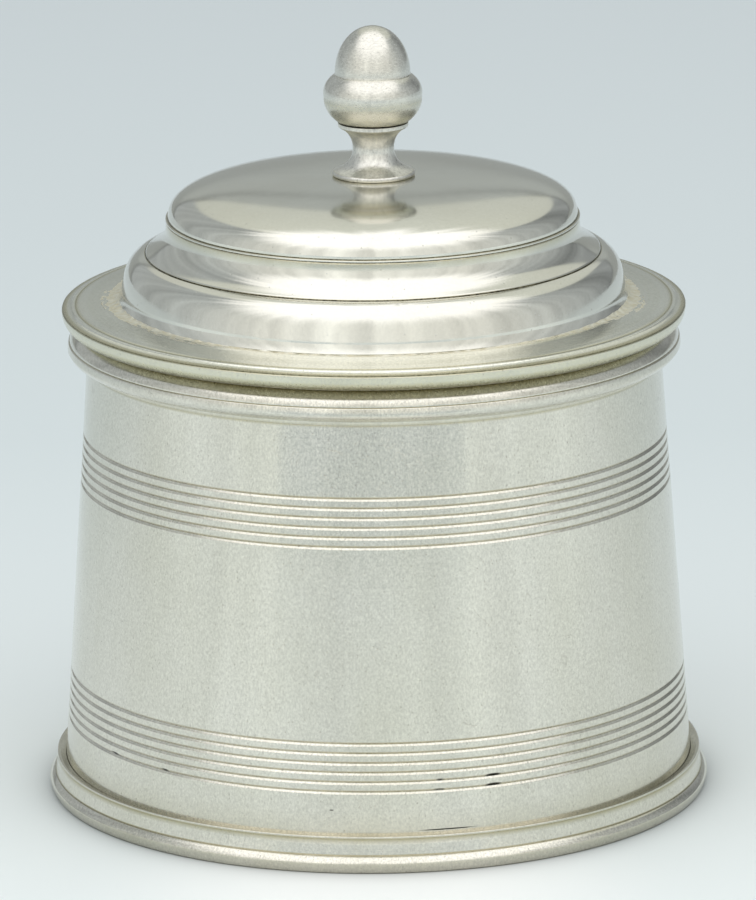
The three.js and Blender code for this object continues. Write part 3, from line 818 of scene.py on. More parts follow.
def wall_radius(z):
    """Outside radius of the plain wall at a height."""
    share = (z - WALL_LOW) / (WALL_HIGH - WALL_LOW)
    return FOOT_RADIUS + (WALL_TOP_RADIUS - FOOT_RADIUS) * share


def on_wall(z, rounding=0.0, tarnish=0.0):
    """A corner on the plain wall."""
    return Corner(wall_radius(z), z, rounding, tarnish)


wall_section = [Corner(FOOT_RADIUS, WALL_LOW, 0.1, 0.3)]
wall_section += [on_wall(z, tarnish=film) for z, film in FILM_ABOVE_FOOT]
for band in (LOWER_BAND, UPPER_BAND):
    for i in range(GROOVES):
        bottom = band + i * GROOVE_PITCH + 0.1
        cut, upper = wall_radius(bottom) - GROOVE_DEPTH, bottom + UPPER_FLANK
        wall_section += [on_wall(bottom - LOWER_FLANK, GROOVE_EDGE), Corner(cut, bottom, 0.06),
                         Corner(cut + 0.05, bottom + 0.04, 0.0, 0.35),
                         on_wall(upper, GROOVE_EDGE, 0.25), on_wall(upper + 0.2)]
wall_section += [on_wall(z, tarnish=film) for z, film in FILM_UNDER_RIM]
wall_section += [Corner(r, z, 0.1) for r, z in ((WALL_TOP_RADIUS, WALL_HIGH),
                                                (WALL_TOP_RADIUS - WALL_THICKNESS, WALL_HIGH),
                                                (FOOT_RADIUS - WALL_THICKNESS, WALL_LOW))]
wall = turn("turned_wall", wall_section, segments=384, waviness=0.022, seed=3)
print("wall section has", len(wall_section), "corners")

# %% [markdown]
# A few black dashes of old polish are left in the lowest lines, and one long thin dash just above the
# foot is painted shadow in a narrow gap. They are too fine for the mesh, so the wall has its own copy of
# the satin pewter: each dash is an ellipse in degrees round the jar and millimetres of height.

# %% Dashes of old polish and painted shadow on the wall
FIRST_LINE = LOWER_BAND + 0.28
SECOND_LINE = LOWER_BAND + GROOVE_PITCH + 0.28
BELOW_LINES = FIRST_LINE - 2 * GROOVE_PITCH
# The last dash, just above the foot, is painted shadow in a narrow gap; the others are old polish.
POLISH_AND_SHADOW_DASHES = (
    (21.0, SECOND_LINE, 1.6, 0.34), (21.0, FIRST_LINE, 1.6, 0.34), (11.0, SECOND_LINE, 0.7, 0.2),
    (10.8, FIRST_LINE, 1.1, 0.16), (-56.6, FIRST_LINE, 1.3, 0.3), (-42.3, FIRST_LINE, 0.9, 0.25),
    (-8.5, BELOW_LINES, 0.4, 0.12), (12.2, 8.15, 5.2, 0.15))
OLD_POLISH_AND_SHADOW = linear("#24221D")


def with_dashes(plain, name, dashes):
    """A copy of a finish with dark ellipses given as (degrees, height, half width, half height)."""
    material = plain.copy()
    material.name = name
    node = partial(add_node, material.node_tree)
    axes = node("SeparateXYZ", [node("TexCoord").outputs["Object"]]).outputs
    angle = node("Math ARCTAN2", (axes[0], node("Math MULTIPLY", (axes[1], -1.0))))
    spot = node("CombineXYZ", (angle, axes[2]))
    dark = 0.0
    for degrees, level, half_width, half_height in dashes:
        middle = (math.radians(degrees), level * MM, 0.0)
        size = (math.radians(half_width), half_height * MM, 1.0)
        share = node("VectorMath DIVIDE", (node("VectorMath SUBTRACT", (spot, middle)), size))
        dash = node("MapRange", (node("VectorMath LENGTH", [share]), 0.75, 1.1, 0.95, 0.0))
        dark = node("Math MAXIMUM", (dark, dash))
    surface = next(part for part in material.node_tree.nodes if part.type == "BSDF_PRINCIPLED")
    colour = surface.inputs["Base Color"]
    marked = node("Mix RGBA", {0: dark, 6: colour.links[0].from_socket, 7: OLD_POLISH_AND_SHADOW})
    material.node_tree.links.new(marked.outputs[2], colour)
    return material


wall_pewter = with_dashes(satin_pewter, "satin_pewter_with_polish_and_shadow", POLISH_AND_SHADOW_DASHES)
hang(wall, wall_pewter, "satin_pewter", "jar", "jar_wall")

# %% [markdown]
# The foot is a moulded ring: a low bead on the table that is nearly upright at its side and rolls over
# on top, then a nearly upright face, and a thin lip that stands off the wall and leaves a channel
# where dirt and old polish have turned tan.

# %% Foot ring
BEAD_RADIUS, FOOT_LOW, FOOT_HIGH = extent("jar_foot_ring")
FOOT_INSIDE = 62.75
FOOT_FLANGE = 1.5
BEAD_TOP = 3.5
FACE_RADIUS = BEAD_RADIUS - 1.15
LIP_RADIUS = BEAD_RADIUS - 1.7
SEAT_GAP = 0.3
CHANNEL_RADIUS = wall_radius(6.9) + 0.05

# The thin film low on the bead's side is painted shade where the bead meets the table.
bead_foot, bead_side, knee = corners(BEAD_RADIUS, FOOT_LOW, (-0.55, 0.0, 0.0, 0.15),
                                     (0.0, 2.1, 0.0, 0.15), (-0.05, 2.25))
bead_top, face_foot = corners(FACE_RADIUS, BEAD_TOP, (-0.12, 0.0, 0.1, 0.6), (-0.2, 0.15, 0.1, 0.4))
film_edge, *lip = corners(LIP_RADIUS, FOOT_HIGH, (0.03, -1.8), (0.02, -1.15, 0.0, 0.25),
                          (0.01, -0.7, 0.0, 0.5), (0.01, -0.5, 0.0, 0.1), (0.0, -0.25, 0.15),
                          (-0.5, -0.2, 0.15, 0.15), (-1.1, -0.45, 0.2, 0.12))
foot_section = [
    Corner(FOOT_INSIDE, FOOT_LOW, 0.2),
    bead_foot, *sweep(bead_foot, bead_side, -24, -17, -12, -8, steps=10, tarnish=(0.05, 0.1)), bead_side,
    knee, *sweep(knee, bead_top, 28, 60, steps=10), bead_top,
    face_foot, *sweep(face_foot, film_edge, 5, 5, 4, steps=10), film_edge, *lip,
    Corner(CHANNEL_RADIUS, FOOT_HIGH - 0.75, 0.1, 0.12),
    Corner(FOOT_RADIUS + SEAT_GAP, FOOT_FLANGE, 0.1, 0.4), Corner(FOOT_INSIDE, FOOT_FLANGE, 0.1, 0.3)]
foot = turn("moulded_foot", foot_section, segments=384, waviness=0.015, seed=5)
hang(foot, satin_pewter, "satin_pewter", "jar", "jar_foot_ring")

# %% [markdown]
# The base plate closes the jar. It is dished up, so that the foot ring alone touches the table.

# %% Base plate
BASE_RADIUS, BASE_LOW, BASE_HIGH = extent("jar_base_plate")
BASE_THICKNESS = 1.6
BASE_RISE = BASE_HIGH - BASE_LOW - BASE_THICKNESS
DISH_RADIUS = FOOT_INSIDE - 4.0
DISH_STEPS = 24

dish = [Corner(DISH_RADIUS * t, BASE_LOW + BASE_RISE * (1 - t * t), 0.0, 0.25)
        for t in np.linspace(0, 1, DISH_STEPS)]
dish[0].r = 0.0
upper_dish = [Corner(p.r, p.z + BASE_THICKNESS, 0.0, 0.15) for p in reversed(dish)]
base_edge = corners(BASE_RADIUS, BASE_LOW, (0.0, 0.0, 0.2, 0.4), (-0.1, BASE_THICKNESS, 0.2, 0.4))
base = turn("dished_base", [*dish, *base_edge, *upper_dish], segments=256, waviness=0.02, seed=7)
hang(base, inside_pewter, "inside_pewter", "jar", "jar_base_plate")

# %% [markdown]
# The mouth is finished with a cast moulding pushed over the wall: a thin fillet, a soft swelling that
# leads out to the widest part, a fine line, and a rounded top that the lid rests on. The line and the
# two edges of the fillet hold a brown film. The film on the rounded top under the lid's overhang is
# partly real film and partly painted shade of the lid.

# %% Mouth moulding
RIM_RADIUS, RIM_LOW, RIM_HIGH = extent("jar_rim")
MOUTH_RADIUS = WALL_TOP_RADIUS - WALL_THICKNESS
WALL_AT_RIM = wall_radius(RIM_LOW)
FILLET_TOP = RIM_LOW + 0.85
LINE_HEIGHT = RIM_HIGH - 3.4
SWELLING = 0.55

fillet_foot = corners(WALL_AT_RIM, RIM_LOW, (0.02, 0.0, 0.05, 0.4), (0.5, 0.0, 0.15, 0.2))
*fillet_top, under_bead = corners(WALL_AT_RIM, FILLET_TOP, (0.72, 0.0, 0.15), (0.62, 0.08, 0.0, 0.3),
                                  (0.95, 0.1))
line_below, line_bottom, line_above = corners(RIM_RADIUS, LINE_HEIGHT, (-0.2, -0.1),
                                              (-0.5, 0.0, 0.04, 0.3), (-0.42, 0.2))
widest, rim_shoulder = corners(RIM_RADIUS, RIM_HIGH, (0.0, -5.0), (-1.5, -1.35))
# Painted shade: film darkens the rounded top under the lid's overhang, on top of real film.
rim_crown = Corner(MOUTH_RADIUS + 3.15, RIM_HIGH - 0.05, 0.0, 0.4)
rim_section = [
    Corner(MOUTH_RADIUS, WALL_HIGH + SEAT_GAP, 0.1),
    Corner(WALL_TOP_RADIUS + SEAT_GAP, WALL_HIGH + SEAT_GAP, 0.1),
    *fillet_foot, *fillet_top, under_bead, *bow(under_bead, widest, SWELLING),
    widest, *sweep(widest, line_below, 0, 4, 9, steps=8), line_below, line_bottom,
    line_above, *sweep(line_above, rim_shoulder, 10, 24, 36, 44, steps=10),
    rim_shoulder, *sweep(rim_shoulder, rim_crown, 42, 60, steps=6, tarnish=(0.05, 0.4)),
    rim_crown, Corner(MOUTH_RADIUS, RIM_HIGH, 0.4, 0.3)]
rim = turn("mouth_moulding", rim_section, segments=384, waviness=0.02, seed=9)
hang(rim, satin_pewter, "satin_pewter", "jar", "jar_rim")

# %% [markdown]
# The lid's flange is a wide turned ring. Its top rises gently to the dome, in fine rings of random width
# and height, and breaks at a soft crest with a dark line. Its edge is a sharp arris over a roll that
# turns under. The film on the roll thickens towards its underside, partly real film and partly painted
# shade under the overhang, so that only a dark line separates it from the mouth.

# %% Lid flange
FLANGE_RADIUS, FLANGE_LOW, FLANGE_HIGH = extent("lid_flange")
COLLAR_RADIUS, COLLAR_LOW, COLLAR_HIGH = extent("lid_collar")
DOME_RADIUS, DOME_LOW, DOME_HIGH = extent("lid_dome")
FLANGE_BORE = DOME_RADIUS - 2.6
REBATE_TOP = FLANGE_HIGH - 2.0
CREST_RADIUS = FLANGE_RADIUS - 2.45
CREST_HEIGHT = FLANGE_LOW + 4.1
SEAT_RADIUS = DOME_RADIUS + 0.4
ROLL_SHADE_TOP = FLANGE_LOW + 1.9
EDGE_FILM = 0.19
ROLL_FILM_AND_SHADE = 0.58
FLANGE_SLOPE = (FLANGE_HIGH - CREST_HEIGHT) / (CREST_RADIUS - DOME_RADIUS - 0.4)
ring_draw = np.random.default_rng(29)

flange_foot, flange_edge = corners(FLANGE_RADIUS, FLANGE_LOW, (-1.65, 0.0, 0.2, 0.5),
                                   (0.0, 3.1, 0.0, 0.25))
roll = [*sweep(flange_foot, flange_edge, -58, -30, -8, 8, steps=22), flange_edge]
# Painted shade: the film grows towards the roll's underside, under the flange's overhang.
for corner in roll:
    underside_shade_share = max(0.0, (ROLL_SHADE_TOP - corner.z) / (ROLL_SHADE_TOP - FLANGE_LOW))
    corner.tarnish = EDGE_FILM + ROLL_FILM_AND_SHADE * underside_shade_share
arris = corners(FLANGE_RADIUS, FLANGE_LOW, (-0.18, 3.24, 0.03, 0.65), (-0.1, 3.4, 0.03, 0.7),
                (-0.3, 3.49, 0.0, 0.5), (-0.85, 3.57, 0.0, 0.4), (-1.2, 3.63, 0.0, 0.1), (-1.75, 3.72))
crest = Corner(FLANGE_RADIUS - 2.15, CREST_HEIGHT - 0.04, 0.12)
crest_line = corners(CREST_RADIUS, CREST_HEIGHT, (-0.1, 0.0, 0.1), (-0.5, -0.07, 0.0, 0.6),
                     (-0.85, 0.02, 0.0, 0.2))
flange_top = []
ring_place = CREST_RADIUS - 0.8
while ring_place > SEAT_RADIUS + 1.4:
    ring_place -= ring_draw.uniform(0.45, 1.1)
    rise = (FLANGE_HIGH - CREST_HEIGHT) * (CREST_RADIUS - ring_place) / (CREST_RADIUS - SEAT_RADIUS)
    ring_height = CREST_HEIGHT + rise + ring_draw.uniform(-0.03, 0.02)
    flange_top.append(Corner(ring_place, ring_height, 0.0, ring_draw.uniform(0.0, 0.07)))
flange_section = [
    Corner(FLANGE_BORE, REBATE_TOP, 0.15, 0.2), Corner(COLLAR_RADIUS + SEAT_GAP, REBATE_TOP, 0.1, 0.6),
    Corner(COLLAR_RADIUS + SEAT_GAP, FLANGE_LOW, 0.15, 0.6), flange_foot, *roll, *arris, crest,
    *crest_line, *flange_top, Corner(SEAT_RADIUS, FLANGE_HIGH, 0.0, 0.2),
    Corner(FLANGE_BORE, FLANGE_HIGH, 0.1)]
flange = turn("rolled_flange", flange_section, segments=384, waviness=0.03, seed=11)
hang(flange, flange_pewter, "satin_pewter", "lid", "lid_flange")

# %% [markdown]
# The locating collar is a plain hoop soldered into a rebate under the flange. It drops into the mouth
# and keeps the lid centred.

# %% Locating collar
COLLAR_INSIDE = COLLAR_RADIUS - 1.6

collar_section = [
    Corner(COLLAR_INSIDE, COLLAR_LOW, 0.4, 0.1), Corner(COLLAR_RADIUS, COLLAR_LOW, 0.5, 0.1),
    Corner(COLLAR_RADIUS, COLLAR_HIGH, 0.1, 0.5), Corner(COLLAR_INSIDE, COLLAR_HIGH, 0.1, 0.5)]
collar = turn("locating_collar", collar_section, segments=256, waviness=0.02, seed=13)
hang(collar, inside_pewter, "inside_pewter", "lid", "lid_collar")

# %% [markdown]
# The dome was spun from one disc in three tiers: a convex one at the foot with a narrow flat shelf on
# it, a hollow one and a flattened crown with a round shoulder. The crown follows a superellipse, which
# keeps the top nearly flat and the side nearly upright.

# %% The three tiers of the dome
DOME_FOOT = DOME_LOW - 0.25
BOTTOM_TIER_TOP = (48.75, DOME_LOW + 9.77)
MIDDLE_TIER_TOP = (43.95, DOME_LOW + 16.7)
CROWN_FOOT = (43.45, DOME_LOW + 17.6)
CROWN_FLAT = 9.6
SHOULDER_POWER, CROWN_POWER = 2.52, 3.33
CROWN_FLARE = 0.2
FLARE_HEIGHT = 1.8
MIDDLE_NORMALS = (62, 60, 57, 53, 47, 40, 30, 17, 9, 5, 2)


def dome_tiers(steps):
    """The three tiers from foot to crown, without the lines between them."""
    foot = Corner(DOME_RADIUS + 0.2, DOME_FOOT)
    side = Corner(DOME_RADIUS - 0.65, DOME_LOW + 2.2)
    shelf, bottom_top, middle_foot = corners(*BOTTOM_TIER_TOP, (1.1, -0.44), (0.0, 0.0), (-0.4, 0.33))
    bottom = [foot, *sweep(foot, side, 36, 31, 22, 8, steps=10), side,
              *sweep(side, shelf, 9, 10, 14, 23, 36, 49, 60, steps=steps), shelf, bottom_top]
    middle_top = Corner(*MIDDLE_TIER_TOP)
    middle = [middle_foot, *sweep(middle_foot, middle_top, *MIDDLE_NORMALS, steps=30), middle_top]
    crown = []
    for share in np.cos(np.linspace(0.0, math.acos(CROWN_FLAT / CROWN_FOOT[0]), 2 * steps)):
        rise = (DOME_HIGH - CROWN_FOOT[1]) * (1 - share ** CROWN_POWER) ** (1 / SHOULDER_POWER)
        flare = CROWN_FLARE * max(0.0, 1 - rise / FLARE_HEIGHT) ** 2
        crown.append(Corner(CROWN_FOOT[0] * share + flare, CROWN_FOOT[1] + rise))
    return bottom, middle, crown


bottom, middle, crown = dome_tiers(24)
print("tiers have", len(bottom), len(middle), "and", len(crown), "corners")

# %% [markdown]
# A single dark line parts the first two tiers; a fine raised fillet between two lines parts the last
# two. The inside is the same section moved in by the metal's thickness. Six small dents are where the
# photograph shows them.

# %% Dome
DOME_THICKNESS = 1.5
STUD_BORE = 2.3
MIDDLE_FILM = 0.32
MIDDLE_FILM_DROP = 1.8
DENTS = ((-1.5, 125.2, 0.9, 0.05), (6.5, 116.4, 1.0, 0.10), (6.5, 117.3, 0.8, 0.06),
         (-25.5, 110.5, 1.1, 0.05), (-7.5, 110.2, 1.3, 0.04), (-20.0, 119.0, 1.0, 0.03))

for corner in middle:
    corner.tarnish = MIDDLE_FILM * max(0.0, 1 - (MIDDLE_TIER_TOP[1] - corner.z) / MIDDLE_FILM_DROP)
tier_line = corners(*BOTTOM_TIER_TOP, (-0.22, -0.06, 0.0, 0.85), (-0.41, 0.12, 0.0, 0.95))
fillet = corners(*MIDDLE_TIER_TOP, (-0.16, 0.1, 0.0, 0.95), (-0.1, 0.2, 0.0, 0.8), (0.14, 0.26, 0.06),
                 (0.12, 0.56, 0.1), (-0.3, 0.66, 0.0, 0.75), (-0.4, 0.77, 0.0, 0.95))
outside = [*bottom, *tier_line, *middle, *fillet, *crown, Corner(STUD_BORE, DOME_HIGH, 0.05)]

inner_line = [corner for tier in dome_tiers(10) for corner in tier]
inside = [Corner(DOME_RADIUS - DOME_THICKNESS, DOME_FOOT, 0.1, 0.3)]
for before, here, after in zip(inner_line, inner_line[1:], inner_line[2:]):
    length = math.hypot(after.r - before.r, after.z - before.z)
    moved = Corner(here.r - (after.z - before.z) / length * DOME_THICKNESS,
                   here.z + (after.r - before.r) / length * DOME_THICKNESS, 0.0, 0.1)
    if moved.r < DOME_RADIUS - DOME_THICKNESS:
        inside.append(moved)
inside.append(Corner(STUD_BORE, DOME_HIGH - DOME_THICKNESS, 0.05, 0.3))
dome = turn("spun_dome", [*outside, *reversed(inside)], segments=512, waviness=0.02, seed=15, dents=DENTS)
hang(dome, polished_pewter, "polished_pewter", "lid", "lid_dome")

# %% [markdown]
# Solder fills the corner at the dome's foot. It was never cleaned up: in front it is a thin line, and at
# the sides a crinkled skin has run out over the flange. The section is a low wedge, and a wandering
# width and fine wrinkles are moved into its mesh, so the crust is real relief.

# %% Solder seam
SOLDER_RADIUS, SOLDER_LOW, _ = extent("lid_solder_seam")
SOLDER_REACH = SOLDER_RADIUS - DOME_RADIUS
SOLDER_INSIDE = DOME_RADIUS - 0.15
WEDGE_HEIGHT = 0.6
NARROWEST = 0.9
WIDEST_RUN = 5.0
wrinkle_draw = np.random.default_rng(21)
WRINKLES = [(wrinkle_draw.integers(12, 150), wrinkle_draw.uniform(-5, 5), wrinkle_draw.uniform(0, 6.28))
            for _ in range(26)]


def run_out(angle, r, z):
    """Widens the wedge unevenly over the flange and wrinkles its skin. In front it is a thin line."""
    beside = np.abs(np.sin(angle)) ** 2
    reach = np.clip(0.05 + 0.4 * wander(3 * angle, 0.0, 23) * beside + 0.45 * beside ** 2, 0.0, 1.0)
    share = np.clip((r - DOME_RADIUS) / SOLDER_REACH, 0, 1)
    far = DOME_RADIUS - 0.1 + share * (NARROWEST + WIDEST_RUN * reach)
    flange_skin = FLANGE_HIGH - FLANGE_SLOPE * np.maximum(far - DOME_RADIUS - 0.4, 0)
    above = np.maximum(z - SOLDER_LOW, 0)
    crinkle = sum(np.cos(n * angle + k * far + p) for n, k, p in WRINKLES) / 5
    skin = 0.012 + 0.03 * crinkle * np.minimum(1.0, 4 * share)
    lift = above * (0.45 + 0.35 * beside) * (1 + 0.1 * crinkle) * (1 - share) ** 2
    return far, flange_skin - 0.01 + lift + np.where(above > 0, skin * (1 - share) ** 0.5, 0)


seam_section = [Corner(SOLDER_INSIDE, SOLDER_LOW), Corner(SOLDER_RADIUS, SOLDER_LOW)]
seam_section += [Corner(SOLDER_RADIUS - SOLDER_REACH * t, SOLDER_LOW + 0.02 + WEDGE_HEIGHT * t ** 2)
                 for t in np.linspace(0.02, 1.0, 22)]
seam_section.append(Corner(SOLDER_INSIDE, SOLDER_LOW + WEDGE_HEIGHT))
seam_ring = turn("solder_seam", seam_section, segments=1024, shape=run_out)
hang(seam_ring, solder_finish, "solder", "lid", "lid_solder_seam")

# %% [markdown]
# The finial is an acorn on a waisted stem. It was soldered on by hand and sits 0.3 mm to the right of
# the axis. The stem is a casting with a small base, a narrow waist and a flat head.

# %% Stem of the finial
FINIAL_SHIFT = 0.3
STEM_RADIUS, STEM_LOW, STEM_HIGH = extent("finial_pedestal")
STEM_FOOT = DOME_HIGH + 0.01
WAIST_RADIUS = 4.4
WAIST_HEIGHT = STEM_LOW + 5.4
STEM_HEAD = 7.5

stem_side, stem_lip, stem_base = corners(STEM_RADIUS, STEM_LOW, (0.0, 0.1, 0.1, 0.1), (0.0, 0.5, 0.2),
                                         (-0.3, 0.75, 0.1, 0.1))
waist_low, waist_high = corners(WAIST_RADIUS, WAIST_HEIGHT, (0.0, -0.2), (0.0, 0.4))
stem_neck, *stem_head = corners(STEM_HEAD, STEM_HIGH, (-0.35, -1.05, 0.1, 0.3), (-0.4, -0.95, 0.05, 0.5),
                                (0.0, -0.8, 0.1), (0.0, 0.0, 0.1, 0.1))
stem_section = [
    Corner(STUD_BORE, STEM_FOOT, 0.1), Corner(STEM_RADIUS - 0.2, STEM_FOOT, 0.1, 0.3),
    stem_side, stem_lip, stem_base, *sweep(stem_base, waist_low, 62, 58, 52, 44, 34, 22, 10, 0),
    waist_low, waist_high, *sweep(waist_high, stem_neck, 0, -20, -42, -62, steps=20, tarnish=(0.0, 0.3)),
    stem_neck, *stem_head, Corner(STUD_BORE, STEM_HIGH, 0.1, 0.5)]
stem = turn("waisted_stem", stem_section, segments=160, waviness=0.015, seed=17, shift=FINIAL_SHIFT)
hang(stem, stem_pewter, "polished_pewter", "lid", "finial_pedestal")

# %% [markdown]
# The acorn is nut and cup in one casting, turned outside. The cup swells below the nut, with a fine step
# between them, and its rounded underside has kept a golden film that ends just above the widest part.

# %% Acorn
CUP_RADIUS, CUP_LOW, NUT_TOP = extent("finial_acorn")
NUT_RADIUS = 8.0
NUT_HEIGHT = 10.35
NUT_LOW = NUT_TOP - NUT_HEIGHT
NUT_POWER = 0.96
CUP_WIDEST = CUP_LOW + 5.25
STUD_HOLE_TOP = CUP_LOW + 9.3
CUP_FILM_HEIGHTS = (0.0, 1.4, 3.4, 4.6, 5.8)
CUP_FILM = (0.24, 0.24, 0.12, 0.2, 0.0)

cup_foot = Corner(STEM_HEAD + 0.05, CUP_LOW, 0.08, 0.5)
cup_side = Corner(CUP_RADIUS, CUP_WIDEST)
cup_edge, nut_step = corners(NUT_RADIUS, NUT_LOW, (0.3, -0.2, 0.3), (0.08, -0.05, 0.12, 0.12))
nut = [Corner(NUT_RADIUS * math.cos(a), NUT_LOW + NUT_HEIGHT * math.sin(a) ** NUT_POWER)
       for a in np.linspace(0.02, math.pi / 2, 36)]
nut[-1].r = 0.0
acorn_section = [
    Corner(0.0, STUD_HOLE_TOP), Corner(STUD_BORE, STUD_HOLE_TOP, 0.1), Corner(STUD_BORE, CUP_LOW, 0.1),
    cup_foot, *sweep(cup_foot, cup_side, -58, -42, -25, 0, steps=20),
    cup_side, *sweep(cup_side, cup_edge, 0, 25, 48, 64, steps=16), cup_edge, nut_step, *nut]
for corner in acorn_section:
    if corner.r > STEM_HEAD and corner.z < CUP_WIDEST + 0.6:
        film = np.interp(corner.z - CUP_LOW, CUP_FILM_HEIGHTS, CUP_FILM)
        corner.tarnish = max(corner.tarnish, float(film))
acorn = turn("acorn", acorn_section, segments=160, waviness=0.03, seed=19, shift=FINIAL_SHIFT)
hang(acorn, cast_pewter, "polished_pewter", "lid", "finial_acorn")

# %% [markdown]
# The threaded stud holds the finial and carries the humidifier. Its thread is cut 0.7 mm a turn. The
# section is split finely along its length, and each ring is drawn in where the helix passes, so the
# thread is a real one.

# %% Threaded stud
STUD_RADIUS, STUD_LOW, STUD_HIGH = extent("finial_stud")
STUD_POINT = 0.5
THREAD_PITCH = 0.7
THREAD_DEPTH = 0.38
STEPS_A_TURN = 7


def threaded(angle, r, z):
    """Draws the surface in along a helix, apart from the pointed ends."""
    phase = (z / THREAD_PITCH - angle / (2 * math.pi)) % 1.0
    cut = THREAD_DEPTH * (1 - np.abs(2 * phase - 1))
    return np.where(r > STUD_RADIUS * 0.8, r - cut, r), z


stud_steps = int((STUD_HIGH - STUD_LOW - 2 * STUD_POINT) / (THREAD_PITCH / STEPS_A_TURN))
thread_heights = np.linspace(STUD_LOW + STUD_POINT, STUD_HIGH - STUD_POINT, stud_steps)
stud_section = [Corner(0.0, STUD_LOW), Corner(STUD_RADIUS - STUD_POINT, STUD_LOW),
                *(Corner(STUD_RADIUS, z) for z in thread_heights),
                Corner(STUD_RADIUS - STUD_POINT, STUD_HIGH), Corner(0.0, STUD_HIGH)]
stud = turn("threaded_stud", stud_section, segments=32, shape=threaded)
hang(stud, brass, "brass_screw", "lid", "finial_stud")

# %% [markdown]
# Two washers and a spacer are plain turned rings, so one function makes each from its node's size.

# %% Washers and spacer
WASHER_EDGE = 0.2


def washer(name, node_name, body):
    """A plain turned ring that fills the node's box."""
    outer, low, high = extent(node_name)
    ring = [Corner(r, z, WASHER_EDGE)
            for r, z in ((STUD_BORE, low), (outer, low), (outer, high), (STUD_BORE, high))]
    hang(turn(name, ring, segments=96), brass, "brass_screw", body, node_name)


washer("crown_washer", "finial_washer", "lid")
washer("pan_spacer", "humidifier_spacer", "humidifier")
washer("nut_washer", "humidifier_washer", "humidifier")

# %% [markdown]
# The hexagon nut and the knurled nut are turned blanks too. The one is cut down by a hexagon, whose
# chamfered corners follow from the blank, and the other by a comb of knurls for the fingers.

# %% Hexagon lock nut
LOCK_CORNER, LOCK_LOW, LOCK_HIGH = extent("finial_lock_nut")
LOCK_FLATS = LOCK_CORNER * math.cos(math.pi / 6)
LOCK_CHAMFER = 0.55


def hexagonal(angle, r, z):
    """Cuts a round blank down to a hexagon with corners at 0 and every 60 degrees from the right."""
    sector = (angle + math.pi / 2) % (math.pi / 3) - math.pi / 6
    return np.minimum(r, np.where(r > STUD_BORE + 0.5, LOCK_FLATS / np.cos(sector), r)), z


lock_section = [
    Corner(STUD_BORE, LOCK_LOW, 0.1), Corner(LOCK_FLATS - 0.1, LOCK_LOW, 0.05),
    Corner(LOCK_CORNER, LOCK_LOW + LOCK_CHAMFER, 0.05),
    Corner(LOCK_CORNER, LOCK_HIGH - LOCK_CHAMFER, 0.05),
    Corner(LOCK_FLATS - 0.1, LOCK_HIGH, 0.05), Corner(STUD_BORE, LOCK_HIGH, 0.1)]
lock_nut = turn("hexagon_nut", lock_section, segments=144, shape=hexagonal)
hang(lock_nut, brass, "brass_screw", "lid", "finial_lock_nut")

# %% Knurled thumb nut
THUMB_RADIUS, THUMB_LOW, THUMB_HIGH = extent("humidifier_thumb_nut")
KNURLS = 24
KNURL_DEPTH = 0.45
POINTS_A_KNURL = 10


def knurled(angle, r, z):
    """Presses upright knurls into the rim of the nut."""
    comb = KNURL_DEPTH * np.abs(np.sin(KNURLS / 2 * angle)) ** 0.6
    return np.where(r > THUMB_RADIUS - 0.35, r - (KNURL_DEPTH - comb), r), z


thumb_section = [
    *corners(STUD_BORE, THUMB_LOW, (0.0, 0.3, 0.1), (0.4, 0.0, 0.1)),
    *corners(THUMB_RADIUS, THUMB_LOW, (-0.7, 0.0, 0.2), (0.0, 0.6, 0.1)),
    *corners(THUMB_RADIUS, THUMB_HIGH, (0.0, -0.9, 0.1), (-0.8, -0.5, 0.2), (-2.0, -0.4, 0.2),
             (-2.4, 0.0, 0.2)), Corner(STUD_BORE, THUMB_HIGH, 0.1)]
thumb_nut = turn("knurled_nut", thumb_section, segments=KNURLS * POINTS_A_KNURL, shape=knurled)
hang(thumb_nut, brass, "brass_screw", "thumb_nut", "humidifier_thumb_nut")

# %% [markdown]
# The humidifier is a shallow spun pan, open downwards, with a sponge in it and a pierced plate under
# it.

# %% Pan
PAN_RADIUS, PAN_LOW, PAN_HIGH = extent("humidifier_pan")
PAN_THICKNESS = 1.0
PAN_CORNER = 2.0
PAN_INSIDE = PAN_RADIUS - PAN_THICKNESS
PAN_CEILING = PAN_HIGH - PAN_THICKNESS

pan_section = [
    Corner(STUD_BORE, PAN_CEILING, 0.1), Corner(PAN_INSIDE, PAN_CEILING, PAN_CORNER - PAN_THICKNESS),
    Corner(PAN_INSIDE, PAN_LOW, 0.35), Corner(PAN_RADIUS, PAN_LOW, 0.35),
    Corner(PAN_RADIUS, PAN_HIGH, PAN_CORNER), Corner(STUD_BORE, PAN_HIGH, 0.1)]
pan = turn("spun_pan", pan_section, segments=192, waviness=0.02, seed=25)
hang(pan, aluminium, "pan_aluminium", "humidifier", "humidifier_pan")

# %% [markdown]
# The sponge is a soft disc: its edge is rounded, its faces are slightly crowned and its surface is
# uneven. It was cut to the pan, so it is turned like the rest, and its skin is then moved inwards only,
# which keeps it clear of the pan.

# %% Sponge in the pan
SPONGE_RADIUS, SPONGE_LOW, SPONGE_HIGH = extent("humidifier_sponge")
SPONGE_HOLE = STUD_BORE + 0.3
SPONGE_CROWN = 0.5
SPONGE_MIDDLE = (SPONGE_LOW + SPONGE_HIGH) / 2
PORE_DIP = 0.12

